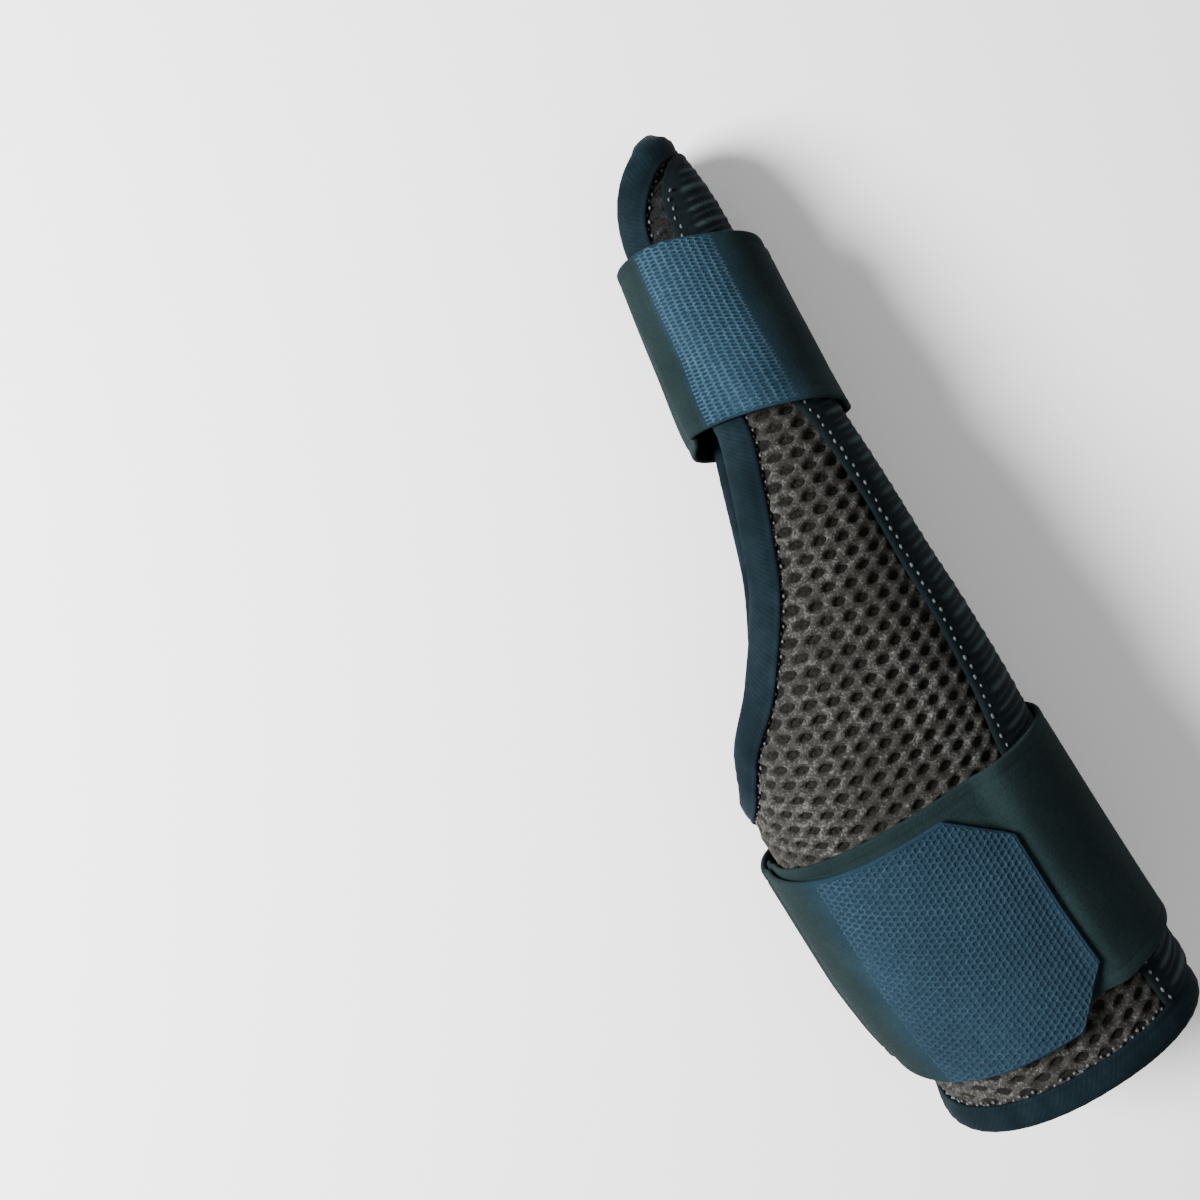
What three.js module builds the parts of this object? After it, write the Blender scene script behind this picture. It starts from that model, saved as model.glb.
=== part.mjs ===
// Thumb spica splint for a right hand, keeping its worn form and lying palm side up.
// Millimetres. +X runs from the cuff to the thumb tip, +Y from the stay to the open side, +Z up.
//
// Every piece of cloth is a layer wrapped round one hollow form, the space for the wrist and thumb.
// A place on a layer is given by three lengths:
//   along  distance from the cuff rim towards the thumb tip
//   round  distance round the section from the stay line, plus towards the palm, minus to the back
//   lift   distance out from the surface of the hollow
import * as THREE from 'three';

// Hollow for the wrist and thumb
const splintLength = 212.5;
const wristWidth = 54;
const wristDepth = 44;
const thumbWidth = 20.5;
const thumbDepth = 21;
const restFlatWidth = 13;
const sectionFullness = 2.2;

// Spacer mesh shell, one sheet from the cuff to the rounded thumb tip
const shellThickness = 3;
const shellEdgeThickness = 1.4;
const tipRoundLength = 21;
const rimCornerRadius = 9;

// Binding tape folded over the shell's edge
const bindingWidth = 4.6;
const tapeThickness = 1;
const bindingFoldRound = 0.5;

// Ribbed pocket for the stay, sewn down the radial side
const pocketWidth = 35;
const pocketThickness = 1.6;
const pocketSelvedge = 3;
const pocketOffsetAtCuff = 4.5;
const pocketOffsetAtThumb = -2.5;
const ribPitch = 4;
const ribHeight = 0.4;

// Webbing straps
const strapThickness = 1.2;
const wristStrapWidth = 49;
const cuffShowing = 16;
const wristStrapDrift = 3.4;
const wristTabChamfer = 9.5;
const thumbStrapWidth = 40;
const thumbStrapFromTip = 48;
const thumbStrapTilt = 6.5;
const thumbStrapTiltTowards = 152;
const thumbStrapFlare = 2.2;
const thumbStrapOpenLift = 1;
const thumbStrapOpens = { from: 4, to: 11 };
const thumbStrapFlaresPast = 0.3;
const thumbTabChamfer = 5;

// Gaps kept between neighbouring pieces: straps over cloth, and pieces sewn to the shell
const clearance = 0.3;
const seamClearance = 0.55;

// The splint rests on the wrist strap, and its thumb end stays about this far off the surface
const thumbEndLift = 0.8;

// Lifts of the layers, each from the one below it
const shellEdgeLift = (shellThickness - shellEdgeThickness) / 2;
const bindingOuterLift = shellEdgeLift + shellEdgeThickness + seamClearance + tapeThickness;
const bindingInnerLift = shellEdgeLift - seamClearance - tapeThickness;
const pocketInnerLift = shellThickness + seamClearance;
const pocketOuterLift = pocketInnerLift + pocketThickness;
const layerRise = strapThickness + clearance;
const overlapRise = strapThickness + seamClearance;
const wristRestLift = shellThickness + layerRise;
const thumbRestLift = pocketOuterLift + ribHeight + layerRise + thumbEndLift;

// Sections of the hollow. at: share of the splint's length. toThumb: 0 follows the wrist's sizes,
// 1 the thumb's. width, depth: shares of that size. lean: how far the stay line stands outside its
// place at the wrist, as a share of the wrist's width.
const sectionTable = {
  at: [0, 0.026, 0.053, 0.119, 0.179, 0.27, 0.305, 0.335, 0.37, 0.421, 0.477, 0.57, 0.653, 0.705,
    0.793, 0.877, 0.951, 0.984, 1],
  toThumb: [0, 0, 0, 0, 0, 0, 0, 0, 0, 0, 0.25, 0.5, 0.8, 1, 1, 1, 1, 1, 1],
  width: [0.965, 0.944, 0.946, 0.983, 1, 1, 1, 1.008, 1.003, 0.985, 1.061, 0.974, 1.022, 1.141,
    1, 0.868, 0.746, 0.615, 0.44],
  depth: [1, 1, 1, 1, 1, 1, 1, 1.008, 1.02, 1.01, 1.098, 1.108, 1.133, 1.2, 1.01, 0.914, 0.838,
    0.743, 0.61],
  lean: [0.024, 0.011, 0.005, 0, 0, 0.003, 0.005, 0.012, 0.017, 0.022, 0.026, 0.033, 0.043, 0.05,
    0.067, 0.087, 0.107, 0.104, 0.065],
};

// Where the pocket comes round to the underside and lifts the splint off the surface
const restRises = { from: 0.45, to: 0.63 };

// Edges of the shell. at: share of the splint's length. palm, back: share of the way round.
const edgeTable = {
  at: [0, 0.34, 0.358, 0.372, 0.386, 0.405, 0.425, 0.477, 0.57, 0.653, 0.793, 0.9, 1],
  palm: [0.565, 0.565, 0.55, 0.505, 0.464, 0.444, 0.424, 0.379, 0.35, 0.346, 0.36, 0.395, 0.4],
  back: [0.385, 0.385, 0.38, 0.37, 0.36, 0.353, 0.348, 0.338, 0.33, 0.335, 0.345, 0.35, 0.35],
};

// How far round each strap starts and ends, as shares of the way round. rise is where it climbs on
// its own first layer, and driftEnd is where the outer layer has reached its place nearer the cuff.
const wristStrapTurns = {
  start: 0.52,
  tabStart: -0.575,
  end: -0.817,
  rise: [-0.395, -0.45],
  driftEnd: -0.675,
};
const thumbStrapTurns = { start: -0.11, tabStart: -0.61, end: -1.17, rise: [-0.97, -1.04] };

// How finely the surfaces are divided
const sectionSteps = 40;
const cuffStep = 11;
const palmStep = 6.8;
const notchStep = 1.9;
const tipCrowding = 0.6;
const wristStrapStep = 4.8;
const thumbStrapStep = 2.8;

const mix = (from, to, share) => from + (to - from) * share;

function ramp(value, from, to) {
  const share = THREE.MathUtils.clamp((value - from) / (to - from), 0, 1);
  return share * share * (3 - 2 * share);
}

// A smooth curve through the rows of a table that never swings past a row
function curveThrough(places, values) {
  const last = places.length - 1;
  const rise = [];
  for (let k = 0; k < last; k += 1) {
    rise.push((values[k + 1] - values[k]) / (places[k + 1] - places[k]));
  }
  const slope = values.map((value, k) => {
    const before = rise[k - 1] ?? 0;
    const after = rise[k] ?? 0;
    return before * after > 0 ? (2 * before * after) / (before + after) : 0;
  });
  return (place) => {
    if (place <= places[0]) return values[0];
    if (place >= places[last]) return values[last];
    const k = places.findIndex((next) => next > place) - 1;
    const span = places[k + 1] - places[k];
    const t = (place - places[k]) / span;
    const hold = (1 + 2 * t) * (1 - t) * (1 - t);
    const push = t * (1 - t) * (1 - t) * span;
    const pull = t * t * (t - 1) * span;
    return hold * values[k] + (1 - hold) * values[k + 1] + push * slope[k] + pull * slope[k + 1];
  };
}

const sectionCurve = {};
for (const column of ['toThumb', 'width', 'depth', 'lean']) {
  sectionCurve[column] = curveThrough(sectionTable.at, sectionTable[column]);
}
const palmEdgeCurve = curveThrough(edgeTable.at, edgeTable.palm);
const backEdgeCurve = curveThrough(edgeTable.at, edgeTable.back);

// One section of the hollow: a full oval whose underside has a flat stretch to rest on.
// Points run from the stay line over the palm side and round the open side to the back.
function makeSection(along) {
  const at = along / splintLength;
  const toThumb = sectionCurve.toThumb(at);
  const halfWidth = (mix(wristWidth, thumbWidth, toThumb) * sectionCurve.width(at)) / 2;
  const halfDepth = (mix(wristDepth, thumbDepth, toThumb) * sectionCurve.depth(at)) / 2;
  const centreY = halfWidth - wristWidth * (0.5 + sectionCurve.lean(at));
  const overPocket = ramp(at, restRises.from, restRises.to);
  const centreZ = halfDepth + mix(wristRestLift, thumbRestLift, overPocket);
  const halfFlat = (restFlatWidth / 2) * Math.min(1, halfWidth / (wristWidth / 2));
  const power = 2 / sectionFullness;
  const points = [];
  const addArc = (from, to, arcWidth, shift) => {
    for (let k = 0; k <= sectionSteps; k += 1) {
      const angle = (mix(from, to, k / sectionSteps) * Math.PI) / 180;
      const across = Math.cos(angle);
      const up = Math.sin(angle);
      const acrossShare = Math.sign(across) * Math.abs(across) ** power;
      const upShare = Math.sign(up) * Math.abs(up) ** power;
      const normal = new THREE.Vector2(
        (-Math.sign(across) * Math.abs(across) ** (2 - power)) / arcWidth,
        (Math.sign(up) * Math.abs(up) ** (2 - power)) / halfDepth,
      ).normalize();
      points.push({
        y: centreY - arcWidth * acrossShare + shift,
        z: centreZ + halfDepth * upShare,
        normal,
      });
    }
  };
  addArc(0, 90, halfWidth, 0);
  addArc(90, 180, halfWidth, 0);
  addArc(180, 270, halfWidth - halfFlat, halfFlat);
  addArc(270, 360, halfWidth - halfFlat, -halfFlat);
  let length = 0;
  points.forEach((point, k) => {
    const before = points[k - 1] ?? point;
    length += Math.hypot(point.y - before.y, point.z - before.z);
    point.length = length;
  });
  return { points, lengthRound: length };
}

const sectionsMade = new Map();
function sectionAt(along) {
  if (!sectionsMade.has(along)) sectionsMade.set(along, makeSection(along));
  return sectionsMade.get(along);
}

const lengthRound = (along) => sectionAt(along).lengthRound;

function place(along, round, lift) {
  const section = sectionAt(along);
  const whole = section.lengthRound;
  const length = ((round % whole) + whole) % whole;
  const found = section.points.findIndex((point) => point.length > length);
  const next = found < 0 ? section.points.length - 1 : found;
  const from = section.points[next - 1];
  const to = section.points[next];
  const share = (length - from.length) / (to.length - from.length);
  const normal = from.normal.clone().lerp(to.normal, share).normalize();
  return new THREE.Vector3(
    along,
    mix(from.y, to.y, share) + normal.x * lift,
    mix(from.z, to.z, share) + normal.y * lift,
  );
}

// How far the rounded rim corner sets the shell's edge back
function cornerCut(along) {
  const share = Math.max(0, 1 - along / rimCornerRadius);
  return rimCornerRadius * (1 - Math.sqrt(1 - share * share));
}

// Distance round from the stay line to the shell's edge, with a rounded rim corner and tip.
// side is 1 on the palm side and -1 on the back.
function shellEdge(along, side) {
  const curve = side > 0 ? palmEdgeCurve : backEdgeCurve;
  const inside = THREE.MathUtils.clamp(along, 0, splintLength);
  const tipShare = Math.max(0, (inside - splintLength + tipRoundLength) / tipRoundLength);
  const reach = curve(inside / splintLength) * lengthRound(inside);
  return side * (reach * Math.sqrt(1 - tipShare * tipShare) - cornerCut(inside));
}

// Places along one edge of the shell, close together at the rim corner, the notch and the tip
const notchFrom = edgeTable.at[1] * splintLength;
const notchTo = edgeTable.at[6] * splintLength;
function edgePlaces(cornerSteps, longest, tipSteps) {
  const places = [];
  for (let k = 0; k < cornerSteps; k += 1) {
    places.push(rimCornerRadius * (1 - Math.cos(((k / cornerSteps) * Math.PI) / 2)));
  }
  const addEven = (from, to, step) => {
    const count = Math.max(1, Math.ceil((to - from) / step));
    for (let k = 0; k < count; k += 1) places.push(mix(from, to, k / count));
  };
  addEven(rimCornerRadius, notchFrom, longest.cuff);
  addEven(notchFrom, notchTo, longest.notch);
  addEven(notchTo, splintLength - tipRoundLength, longest.palm);
  for (let k = 0; k <= tipSteps; k += 1) {
    const turn = ((k / tipSteps) ** tipCrowding * Math.PI) / 2;
    places.push(splintLength - tipRoundLength * (1 - Math.sin(turn)));
  }
  return places;
}

// The shell's outline, closed, as points along and round: up the rim, along the palm edge to the
// tip and back along the other edge
function makeOutline(rimRounds, places) {
  const rim = rimRounds.slice(0, -1).map((round) => new THREE.Vector2(0, round));
  const palm = places.map((along) => new THREE.Vector2(along, shellEdge(along, 1)));
  const inner = places.slice(1, -1).reverse();
  const back = inner.map((along) => new THREE.Vector2(along, shellEdge(along, -1)));
  return [...rim, ...palm, ...back];
}
const rimSteps = 80;
const fineRim = [];
for (let k = 0; k <= rimSteps; k += 1) {
  fineRim.push(mix(shellEdge(0, -1), shellEdge(0, 1), k / rimSteps));
}
const fineOutline = makeOutline(fineRim, edgePlaces(12, { cuff: 2, notch: 0.5, palm: 1.5 }, 24));

function distanceToOutline(along, round) {
  let nearest = Infinity;
  fineOutline.forEach((from, k) => {
    const to = fineOutline[(k + 1) % fineOutline.length];
    const step = to.clone().sub(from);
    const gone = new THREE.Vector2(along, round).sub(from);
    const share = THREE.MathUtils.clamp(gone.dot(step) / step.lengthSq(), 0, 1);
    nearest = Math.min(nearest, gone.distanceTo(step.multiplyScalar(share)));
  });
  return nearest;
}

// The pocket narrows towards the rounded tip, inside the binding
const pocketMargin = bindingWidth + 1.5;
const tipRoundFrom = splintLength - tipRoundLength;
function pocketHalfWidth(along) {
  if (along > splintLength - pocketMargin) return 0;
  const tipShare = Math.max(0, (along - tipRoundFrom) / (tipRoundLength - pocketMargin));
  const narrowing = Math.sqrt(Math.max(0, 1 - tipShare * tipShare));
  const beforeTip = Math.min(along, tipRoundFrom);
  const reach = edgeDepth(beforeTip, pocketCentre(along));
  return Math.min(pocketWidth / 2, (reach - pocketMargin) * narrowing);
}

// The pocket runs straight, a little towards the palm side at the cuff and away from it at the thumb
const pocketSlants = { from: 0.3, to: 0.66, centredAt: 0.84 };
function pocketCentre(along) {
  const { from, to, centredAt } = pocketSlants;
  const at = along / splintLength;
  const share = THREE.MathUtils.clamp((at - from) / (to - from), 0, 1);
  return mix(pocketOffsetAtCuff, pocketOffsetAtThumb, share) * (1 - ramp(at, to, centredAt));
}

// Lift that a strap's inner face needs to clear the shell, binding and pocket below it
const coverReach = 4;
const pocketSlope = 5;
const bindingSlope = 3;
function coverLift(along, round) {
  const pastPocket = Math.abs(round - pocketCentre(along)) - pocketHalfWidth(along);
  const pastBinding = edgeDepth(along, round) - bindingWidth;
  const overPocket = 1 - ramp(pastPocket, coverReach, coverReach + pocketSlope);
  const overBinding = 1 - ramp(pastBinding, coverReach, coverReach + bindingSlope);
  const pocketRise = (pocketOuterLift + ribHeight - shellThickness) * overPocket;
  const bindingRise = (bindingOuterLift - shellThickness) * overBinding;
  return shellThickness + clearance + Math.max(pocketRise, bindingRise);
}

// Distance in from the nearer long edge of the shell, minus outside it
function edgeDepth(along, round) {
  return Math.min(shellEdge(along, 1) - round, round - shellEdge(along, -1));
}

// Adds a four-sided face as two triangles, split along its shorter diagonal
function addQuad(index, positions, [a, b, c, d]) {
  const corner = (k) => new THREE.Vector3().fromArray(positions, k * 3);
  const first = corner(a).distanceTo(corner(c));
  const second = corner(b).distanceTo(corner(d));
  index.push(...(first < second ? [a, b, c, a, c, d] : [b, c, d, b, d, a]));
}

// A closed slab between an inner and an outer face, both on the same grid of places
function slab(firstShares, secondShares, at) {
  const rows = firstShares.length;
  const columns = secondShares.length;
  const positions = [];
  for (const face of ['inner', 'outer']) {
    for (const first of firstShares) {
      for (const second of secondShares) {
        const spot = at(first, second);
        positions.push(...place(spot.along, spot.round, spot[face]).toArray());
      }
    }
  }
  const faceSize = rows * columns;
  const index = [];
  for (let i = 0; i < rows - 1; i += 1) {
    for (let j = 0; j < columns - 1; j += 1) {
      const a = i * columns + j;
      const b = a + 1;
      const c = a + columns + 1;
      const d = a + columns;
      addQuad(index, positions, [d, c, b, a]);
      addQuad(index, positions, [a, b, c, d].map((k) => k + faceSize));
    }
  }
  const rim = [];
  for (let j = 0; j < columns - 1; j += 1) rim.push(j);
  for (let i = 0; i < rows - 1; i += 1) rim.push(i * columns + columns - 1);
  for (let j = columns - 1; j > 0; j -= 1) rim.push((rows - 1) * columns + j);
  for (let i = rows - 1; i > 0; i -= 1) rim.push(i * columns);
  rim.forEach((a, k) => {
    const b = rim[(k + 1) % rim.length];
    addQuad(index, positions, [a, b, faceSize + b, faceSize + a]);
  });
  return closedGeometry(positions, index);
}

// An indexed geometry whose faces point outwards
function closedGeometry(positions, index) {
  const corner = (k) => new THREE.Vector3().fromArray(positions, index[k] * 3);
  let volume = 0;
  for (let k = 0; k < index.length; k += 3) {
    volume += corner(k).dot(corner(k + 1).cross(corner(k + 2)));
  }
  if (volume < 0) {
    for (let k = 0; k < index.length; k += 3) {
      [index[k], index[k + 1]] = [index[k + 1], index[k]];
    }
  }
  const geometry = new THREE.BufferGeometry();
  geometry.setAttribute('position', new THREE.Float32BufferAttribute(positions, 3));
  geometry.setIndex(index);
  geometry.computeVertexNormals();
  return geometry;
}

const evenShares = (count) => Array.from({ length: count + 1 }, (_, k) => k / count);

// Lines that the pocket and the shell below it share, as shares of the pocket's half width
const pocketLines = [-1, -0.82, -0.42, 0, 0.42, 0.82, 1];

// Rows of the shell between the pocket's line and the binding's, on each side
const backRowCount = 5;
const palmRowCount = 7;
// At the tip these rows keep at least these shares of the way out to the edge
const tipBindingShare = 0.7;
const tipPocketShare = 0.45;
// The first row inside the binding's line is this far from it
const rowInsideBinding = 2.5;

// Rows of the shell at one place along it, from the back edge to the palm edge. They keep to the
// binding's and the pocket's lines, close up towards the tip and bend little at the rim corners.
function shellRows(along) {
  const centre = pocketCentre(along);
  const rowsToEdge = (side, count) => {
    const edge = side * shellEdge(along, side);
    const bindingLine = Math.max(edge - bindingWidth - clearance, edge * tipBindingShare);
    const atTip = Math.min(edge * tipPocketShare, pocketWidth / 4);
    const pocketLine = Math.max(side * centre + pocketHalfWidth(along), atTip);
    const fullShare = Math.min(0.5, rowInsideBinding / (bindingLine - pocketLine));
    const fullLine = mix(bindingLine, pocketLine, fullShare);
    const rows = [edge, (edge + bindingLine) / 2, bindingLine];
    for (let k = 0; k < count; k += 1) {
      const toEdge = 1 - k / count;
      const straightened = cornerCut(along) * (toEdge - toEdge ** 3);
      rows.push(mix(pocketLine, fullLine, toEdge) + straightened);
    }
    return { rows, pocketLine };
  };
  const back = rowsToEdge(-1, backRowCount);
  const palm = rowsToEdge(1, palmRowCount);
  const middle = pocketLines.map((line) => mix(-back.pocketLine, palm.pocketLine, (line + 1) / 2));
  return [...back.rows.map((round) => -round), ...middle, ...palm.rows.reverse()];
}

const thickensFrom = bindingWidth + 1;
const thickensOver = 2.4;
function shellFaces(along, round) {
  const depth = distanceToOutline(along, round);
  const full = ramp(depth, thickensFrom, thickensFrom + thickensOver);
  const half = mix(shellEdgeThickness, shellThickness, full) / 2;
  return { inner: shellThickness / 2 - half, outer: shellThickness / 2 + half };
}

// Places along the shell. The last one stops just short of the tip, where the rows would meet.
const tipBlunt = 0.35;
const shellPlaces = edgePlaces(4, { cuff: cuffStep, notch: notchStep, palm: palmStep }, 9);
shellPlaces[shellPlaces.length - 1] = splintLength - tipBlunt;

function shellGeometry() {
  const shares = shellPlaces.map((along) => along / splintLength);
  const rowCount = shellRows(0).length;
  return slab(shares, evenShares(rowCount - 1), (share, row) => {
    const along = share * splintLength;
    const round = shellRows(along)[Math.round(row * (rowCount - 1))];
    return { along, round, ...shellFaces(along, round) };
  });
}

// Points of the outline, each with its direction in from the edge, where the shell has its rows
// and places too, so that the two pieces bend together
function bindingStations() {
  const outline = makeOutline(shellRows(0), shellPlaces);
  return outline.map((point, k) => {
    const before = outline[(k + outline.length - 1) % outline.length];
    const after = outline[(k + 1) % outline.length];
    const tangent = after.clone().sub(before).normalize();
    return { point, inward: new THREE.Vector2(tangent.y, -tangent.x) };
  });
}

// Tape folded over the edge. Its profile gives depth in from the shell's edge, and lift.
function bindingGeometry() {
  const foldOut = -clearance - tapeThickness;
  const foldIn = -clearance;
  const halfWay = bindingWidth / 2;
  const profile = [
    [bindingWidth, bindingOuterLift],
    [foldOut + bindingFoldRound, bindingOuterLift],
    [foldOut, (bindingOuterLift + bindingInnerLift) / 2],
    [foldOut + bindingFoldRound, bindingInnerLift],
    [bindingWidth, bindingInnerLift],
    [bindingWidth, bindingInnerLift + tapeThickness],
    [halfWay, bindingInnerLift + tapeThickness],
    [foldIn, bindingInnerLift + tapeThickness],
    [foldIn, bindingOuterLift - tapeThickness],
    [halfWay, bindingOuterLift - tapeThickness],
    [bindingWidth, bindingOuterLift - tapeThickness],
  ];
  const stations = bindingStations();
  const positions = [];
  for (const station of stations) {
    for (const [depth, lift] of profile) {
      const spot = station.point.clone().addScaledVector(station.inward, depth);
      positions.push(...place(spot.x, spot.y, lift).toArray());
    }
  }
  const index = [];
  stations.forEach((station, i) => {
    const next = (i + 1) % stations.length;
    profile.forEach((row, j) => {
      const after = (j + 1) % profile.length;
      const a = i * profile.length + j;
      const b = i * profile.length + after;
      const c = next * profile.length + after;
      const d = next * profile.length + j;
      addQuad(index, positions, [a, b, c, d]);
    });
  });
  return closedGeometry(positions, index);
}

// The ribbed pocket: ridges run across it between two flat selvedges
const pocketEndGap = 0.6;
function pocketGeometry() {
  const from = bindingWidth + clearance + pocketEndGap;
  const to = splintLength - pocketMargin - pocketEndGap;
  const ribCount = Math.round((to - from) / ribPitch);
  const flatLine = 1 - pocketSelvedge / (pocketWidth / 2);
  const ribbed = pocketLines.slice(2, -2);
  const lines = [-1, -flatLine, ...ribbed, flatLine, 1];
  return slab(evenShares(ribCount * 2), lines, (share, line) => {
    const along = mix(from, to, share);
    const onRib = Math.round(share * ribCount * 2) % 2;
    const rib = ribbed.includes(line) ? ribHeight * onRib : 0;
    return {
      along,
      round: pocketCentre(along) + line * pocketHalfWidth(along),
      inner: pocketInnerLift,
      outer: pocketOuterLift + rib,
    };
  });
}

// A stretch of strap between two turns. centre(turn) is where its middle line runs along the
// splint, extra(turn, across) lifts it over what lies below, and recede(across) cuts its end back.
function strapGeometry({ from, to, width, step, rows, centre, extra, recede = () => 0 }) {
  const middle = centre(from);
  const length = Math.abs(to - from) * lengthRound(middle);
  const count = Math.ceil(length / step);
  return slab(evenShares(count), rows, (share, row) => {
    const across = (row - 0.5) * width;
    const end = to - (Math.sign(to - from) * recede(row)) / lengthRound(middle);
    const turn = mix(from, end, share);
    const along = centre(turn) + across;
    const whole = lengthRound(along);
    const round = turn * whole;
    const wrapped = round - Math.round(round / whole) * whole;
    const inner = extra(turn, row, coverLift(along, wrapped), wrapped);
    return { along, round, inner, outer: inner + strapThickness };
  });
}

// How far a strap's chamfered end is cut back at a place across its width
function chamferCut(row, width, chamfer) {
  const fromSide = Math.min(row, 1 - row) * width;
  return Math.max(0, chamfer - fromSide);
}

const turnsGap = (along) => clearance / lengthRound(along);

const wristStrapCentre = cuffShowing + wristStrapWidth / 2;
const wristStrapShape = {
  width: wristStrapWidth,
  step: wristStrapStep,
  centre: (turn) => {
    const { rise, driftEnd } = wristStrapTurns;
    return wristStrapCentre - wristStrapDrift * ramp(turn, rise[1], driftEnd);
  },
  extra: (turn, row, cover) => cover + overlapRise * ramp(turn, ...wristStrapTurns.rise),
};

const thumbStrapCentre = splintLength - thumbStrapFromTip;
const thumbStrapShape = {
  width: thumbStrapWidth,
  step: thumbStrapStep,
  centre: (turn) => {
    const angle = THREE.MathUtils.degToRad(turn * 360 - thumbStrapTiltTowards);
    return thumbStrapCentre + thumbStrapTilt * Math.cos(angle);
  },
  extra: (turn, row, cover, round) => {
    const along = thumbStrapShape.centre(turn) + (row - 0.5) * thumbStrapWidth;
    const open = ramp(-edgeDepth(along, round), thumbStrapOpens.from, thumbStrapOpens.to);
    const overPocket = ramp(Math.cos(turn * 2 * Math.PI), thumbStrapFlaresPast, 1);
    const flare = thumbStrapFlare * row * overPocket;
    const level = overlapRise * ramp(turn, ...thumbStrapTurns.rise);
    return mix(cover, thumbStrapOpenLift, open) + flare + level;
  },
};

// Rows across a strap and its tab, closer together where a tab's corners are chamfered
const strapRows = [0, 0.1, 0.2, 0.5, 0.8, 0.9, 1];

const geometries = {
  mesh_shell: shellGeometry(),
  edge_binding: bindingGeometry(),
  stay_pocket: pocketGeometry(),
  wrist_strap: strapGeometry({
    ...wristStrapShape,
    from: wristStrapTurns.start,
    to: wristStrapTurns.tabStart,
    rows: strapRows,
  }),
  wrist_strap_tab: strapGeometry({
    ...wristStrapShape,
    from: wristStrapTurns.tabStart - turnsGap(wristStrapCentre),
    to: wristStrapTurns.end,
    rows: strapRows,
    recede: (row) => chamferCut(row, wristStrapWidth, wristTabChamfer),
  }),
  thumb_strap: strapGeometry({
    ...thumbStrapShape,
    from: thumbStrapTurns.start,
    to: thumbStrapTurns.tabStart,
    rows: strapRows,
  }),
  thumb_strap_tab: strapGeometry({
    ...thumbStrapShape,
    from: thumbStrapTurns.tabStart - turnsGap(thumbStrapCentre),
    to: thumbStrapTurns.end,
    rows: strapRows,
    recede: (row) => chamferCut(row, thumbStrapWidth, thumbTabChamfer),
  }),
};

const finishes = {
  mesh_shell: { color: 0x55564f, roughness: 0.9 },
  edge_binding: { color: 0x24394a, roughness: 0.75 },
  stay_pocket: { color: 0x151d24, roughness: 0.8 },
  wrist_strap: { color: 0x1c2e36, roughness: 0.85 },
  wrist_strap_tab: { color: 0x2c4a5e, roughness: 0.8 },
  thumb_strap: { color: 0x1f3239, roughness: 0.85 },
  thumb_strap_tab: { color: 0x33566a, roughness: 0.8 },
};

const splint = new THREE.Group();
for (const [name, geometry] of Object.entries(geometries)) {
  const finish = { ...finishes[name], metalness: 0, side: THREE.FrontSide };
  const mesh = new THREE.Mesh(geometry, new THREE.MeshStandardMaterial(finish));
  mesh.name = name;
  splint.add(mesh);
}

// The origin is on the resting surface, under the middle of the splint
const box = new THREE.Box3().setFromObject(splint);
const middle = box.getCenter(new THREE.Vector3());
splint.position.set(-middle.x, -middle.y, -box.min.z);

export default splint;
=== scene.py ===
# %% [markdown]
# # A thumb spica splint
# This lesson dresses a thumb spica splint: a cloth brace that keeps a sprained thumb still. On the
# real one a sheet of knitted spacer mesh is bound with tape, a ribbed pocket holds a stay down the
# thumb side, and two straps close it.

# %% Load the frame
import math
import random

import bmesh
import bpy
import numpy as np
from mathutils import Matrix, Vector


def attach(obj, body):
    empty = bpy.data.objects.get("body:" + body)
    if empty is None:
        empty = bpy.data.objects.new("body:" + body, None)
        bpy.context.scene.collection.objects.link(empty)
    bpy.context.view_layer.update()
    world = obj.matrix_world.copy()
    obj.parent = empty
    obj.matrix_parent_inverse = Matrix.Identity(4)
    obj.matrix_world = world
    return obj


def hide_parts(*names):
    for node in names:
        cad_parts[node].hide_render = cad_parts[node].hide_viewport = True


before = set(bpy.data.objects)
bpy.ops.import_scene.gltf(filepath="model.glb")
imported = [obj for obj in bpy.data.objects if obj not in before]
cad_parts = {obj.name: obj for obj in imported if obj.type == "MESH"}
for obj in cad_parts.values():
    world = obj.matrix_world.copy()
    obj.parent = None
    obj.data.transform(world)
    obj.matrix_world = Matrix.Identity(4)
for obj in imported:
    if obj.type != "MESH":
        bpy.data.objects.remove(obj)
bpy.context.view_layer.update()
print("solids:", sorted(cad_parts))

# %% [markdown]
# ## The form that every layer follows
# All the cloth is wrapped round one hollow, the space for a wrist and a thumb. A place on a layer is
# three lengths in millimetres: how far along the splint, how far round it, and how far out it
# lifts. With one function for that, a strap, a stitch and a knitted hole all land on the same form.

# %% Sizes of the splint, in millimetres
MM = 0.001
FRAME_SHIFT = np.array((-106.19, 4.05, 0.0))
LENGTH = 212.5
WRIST_WIDTH, WRIST_DEPTH = 54, 44
THUMB_WIDTH, THUMB_DEPTH = 20.5, 21
REST_FLAT = 13
FULLNESS = 2.2
THUMB_RISES = (0.45, 0.63)
SHELL_THICKNESS, SHELL_EDGE_THICKNESS = 3, 1.4
TIP_ROUND, RIM_CORNER = 21, 9
BINDING_WIDTH = 4.6
SEAM_GAP, STRAP_GAP = 0.55, 0.3
POCKET_WIDTH, POCKET_THICKNESS, POCKET_SELVEDGE = 35, 1.6, 3
POCKET_AT_CUFF, POCKET_AT_THUMB = 4.5, -2.5
RIB_PITCH, RIB_HEIGHT = 4, 0.4
STRAP_THICKNESS = 1.2
WRIST_REST = SHELL_THICKNESS + STRAP_THICKNESS + STRAP_GAP
POCKET_INNER = SHELL_THICKNESS + SEAM_GAP
POCKET_OUTER = POCKET_INNER + POCKET_THICKNESS
THUMB_CLEAR = 0.8
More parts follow.
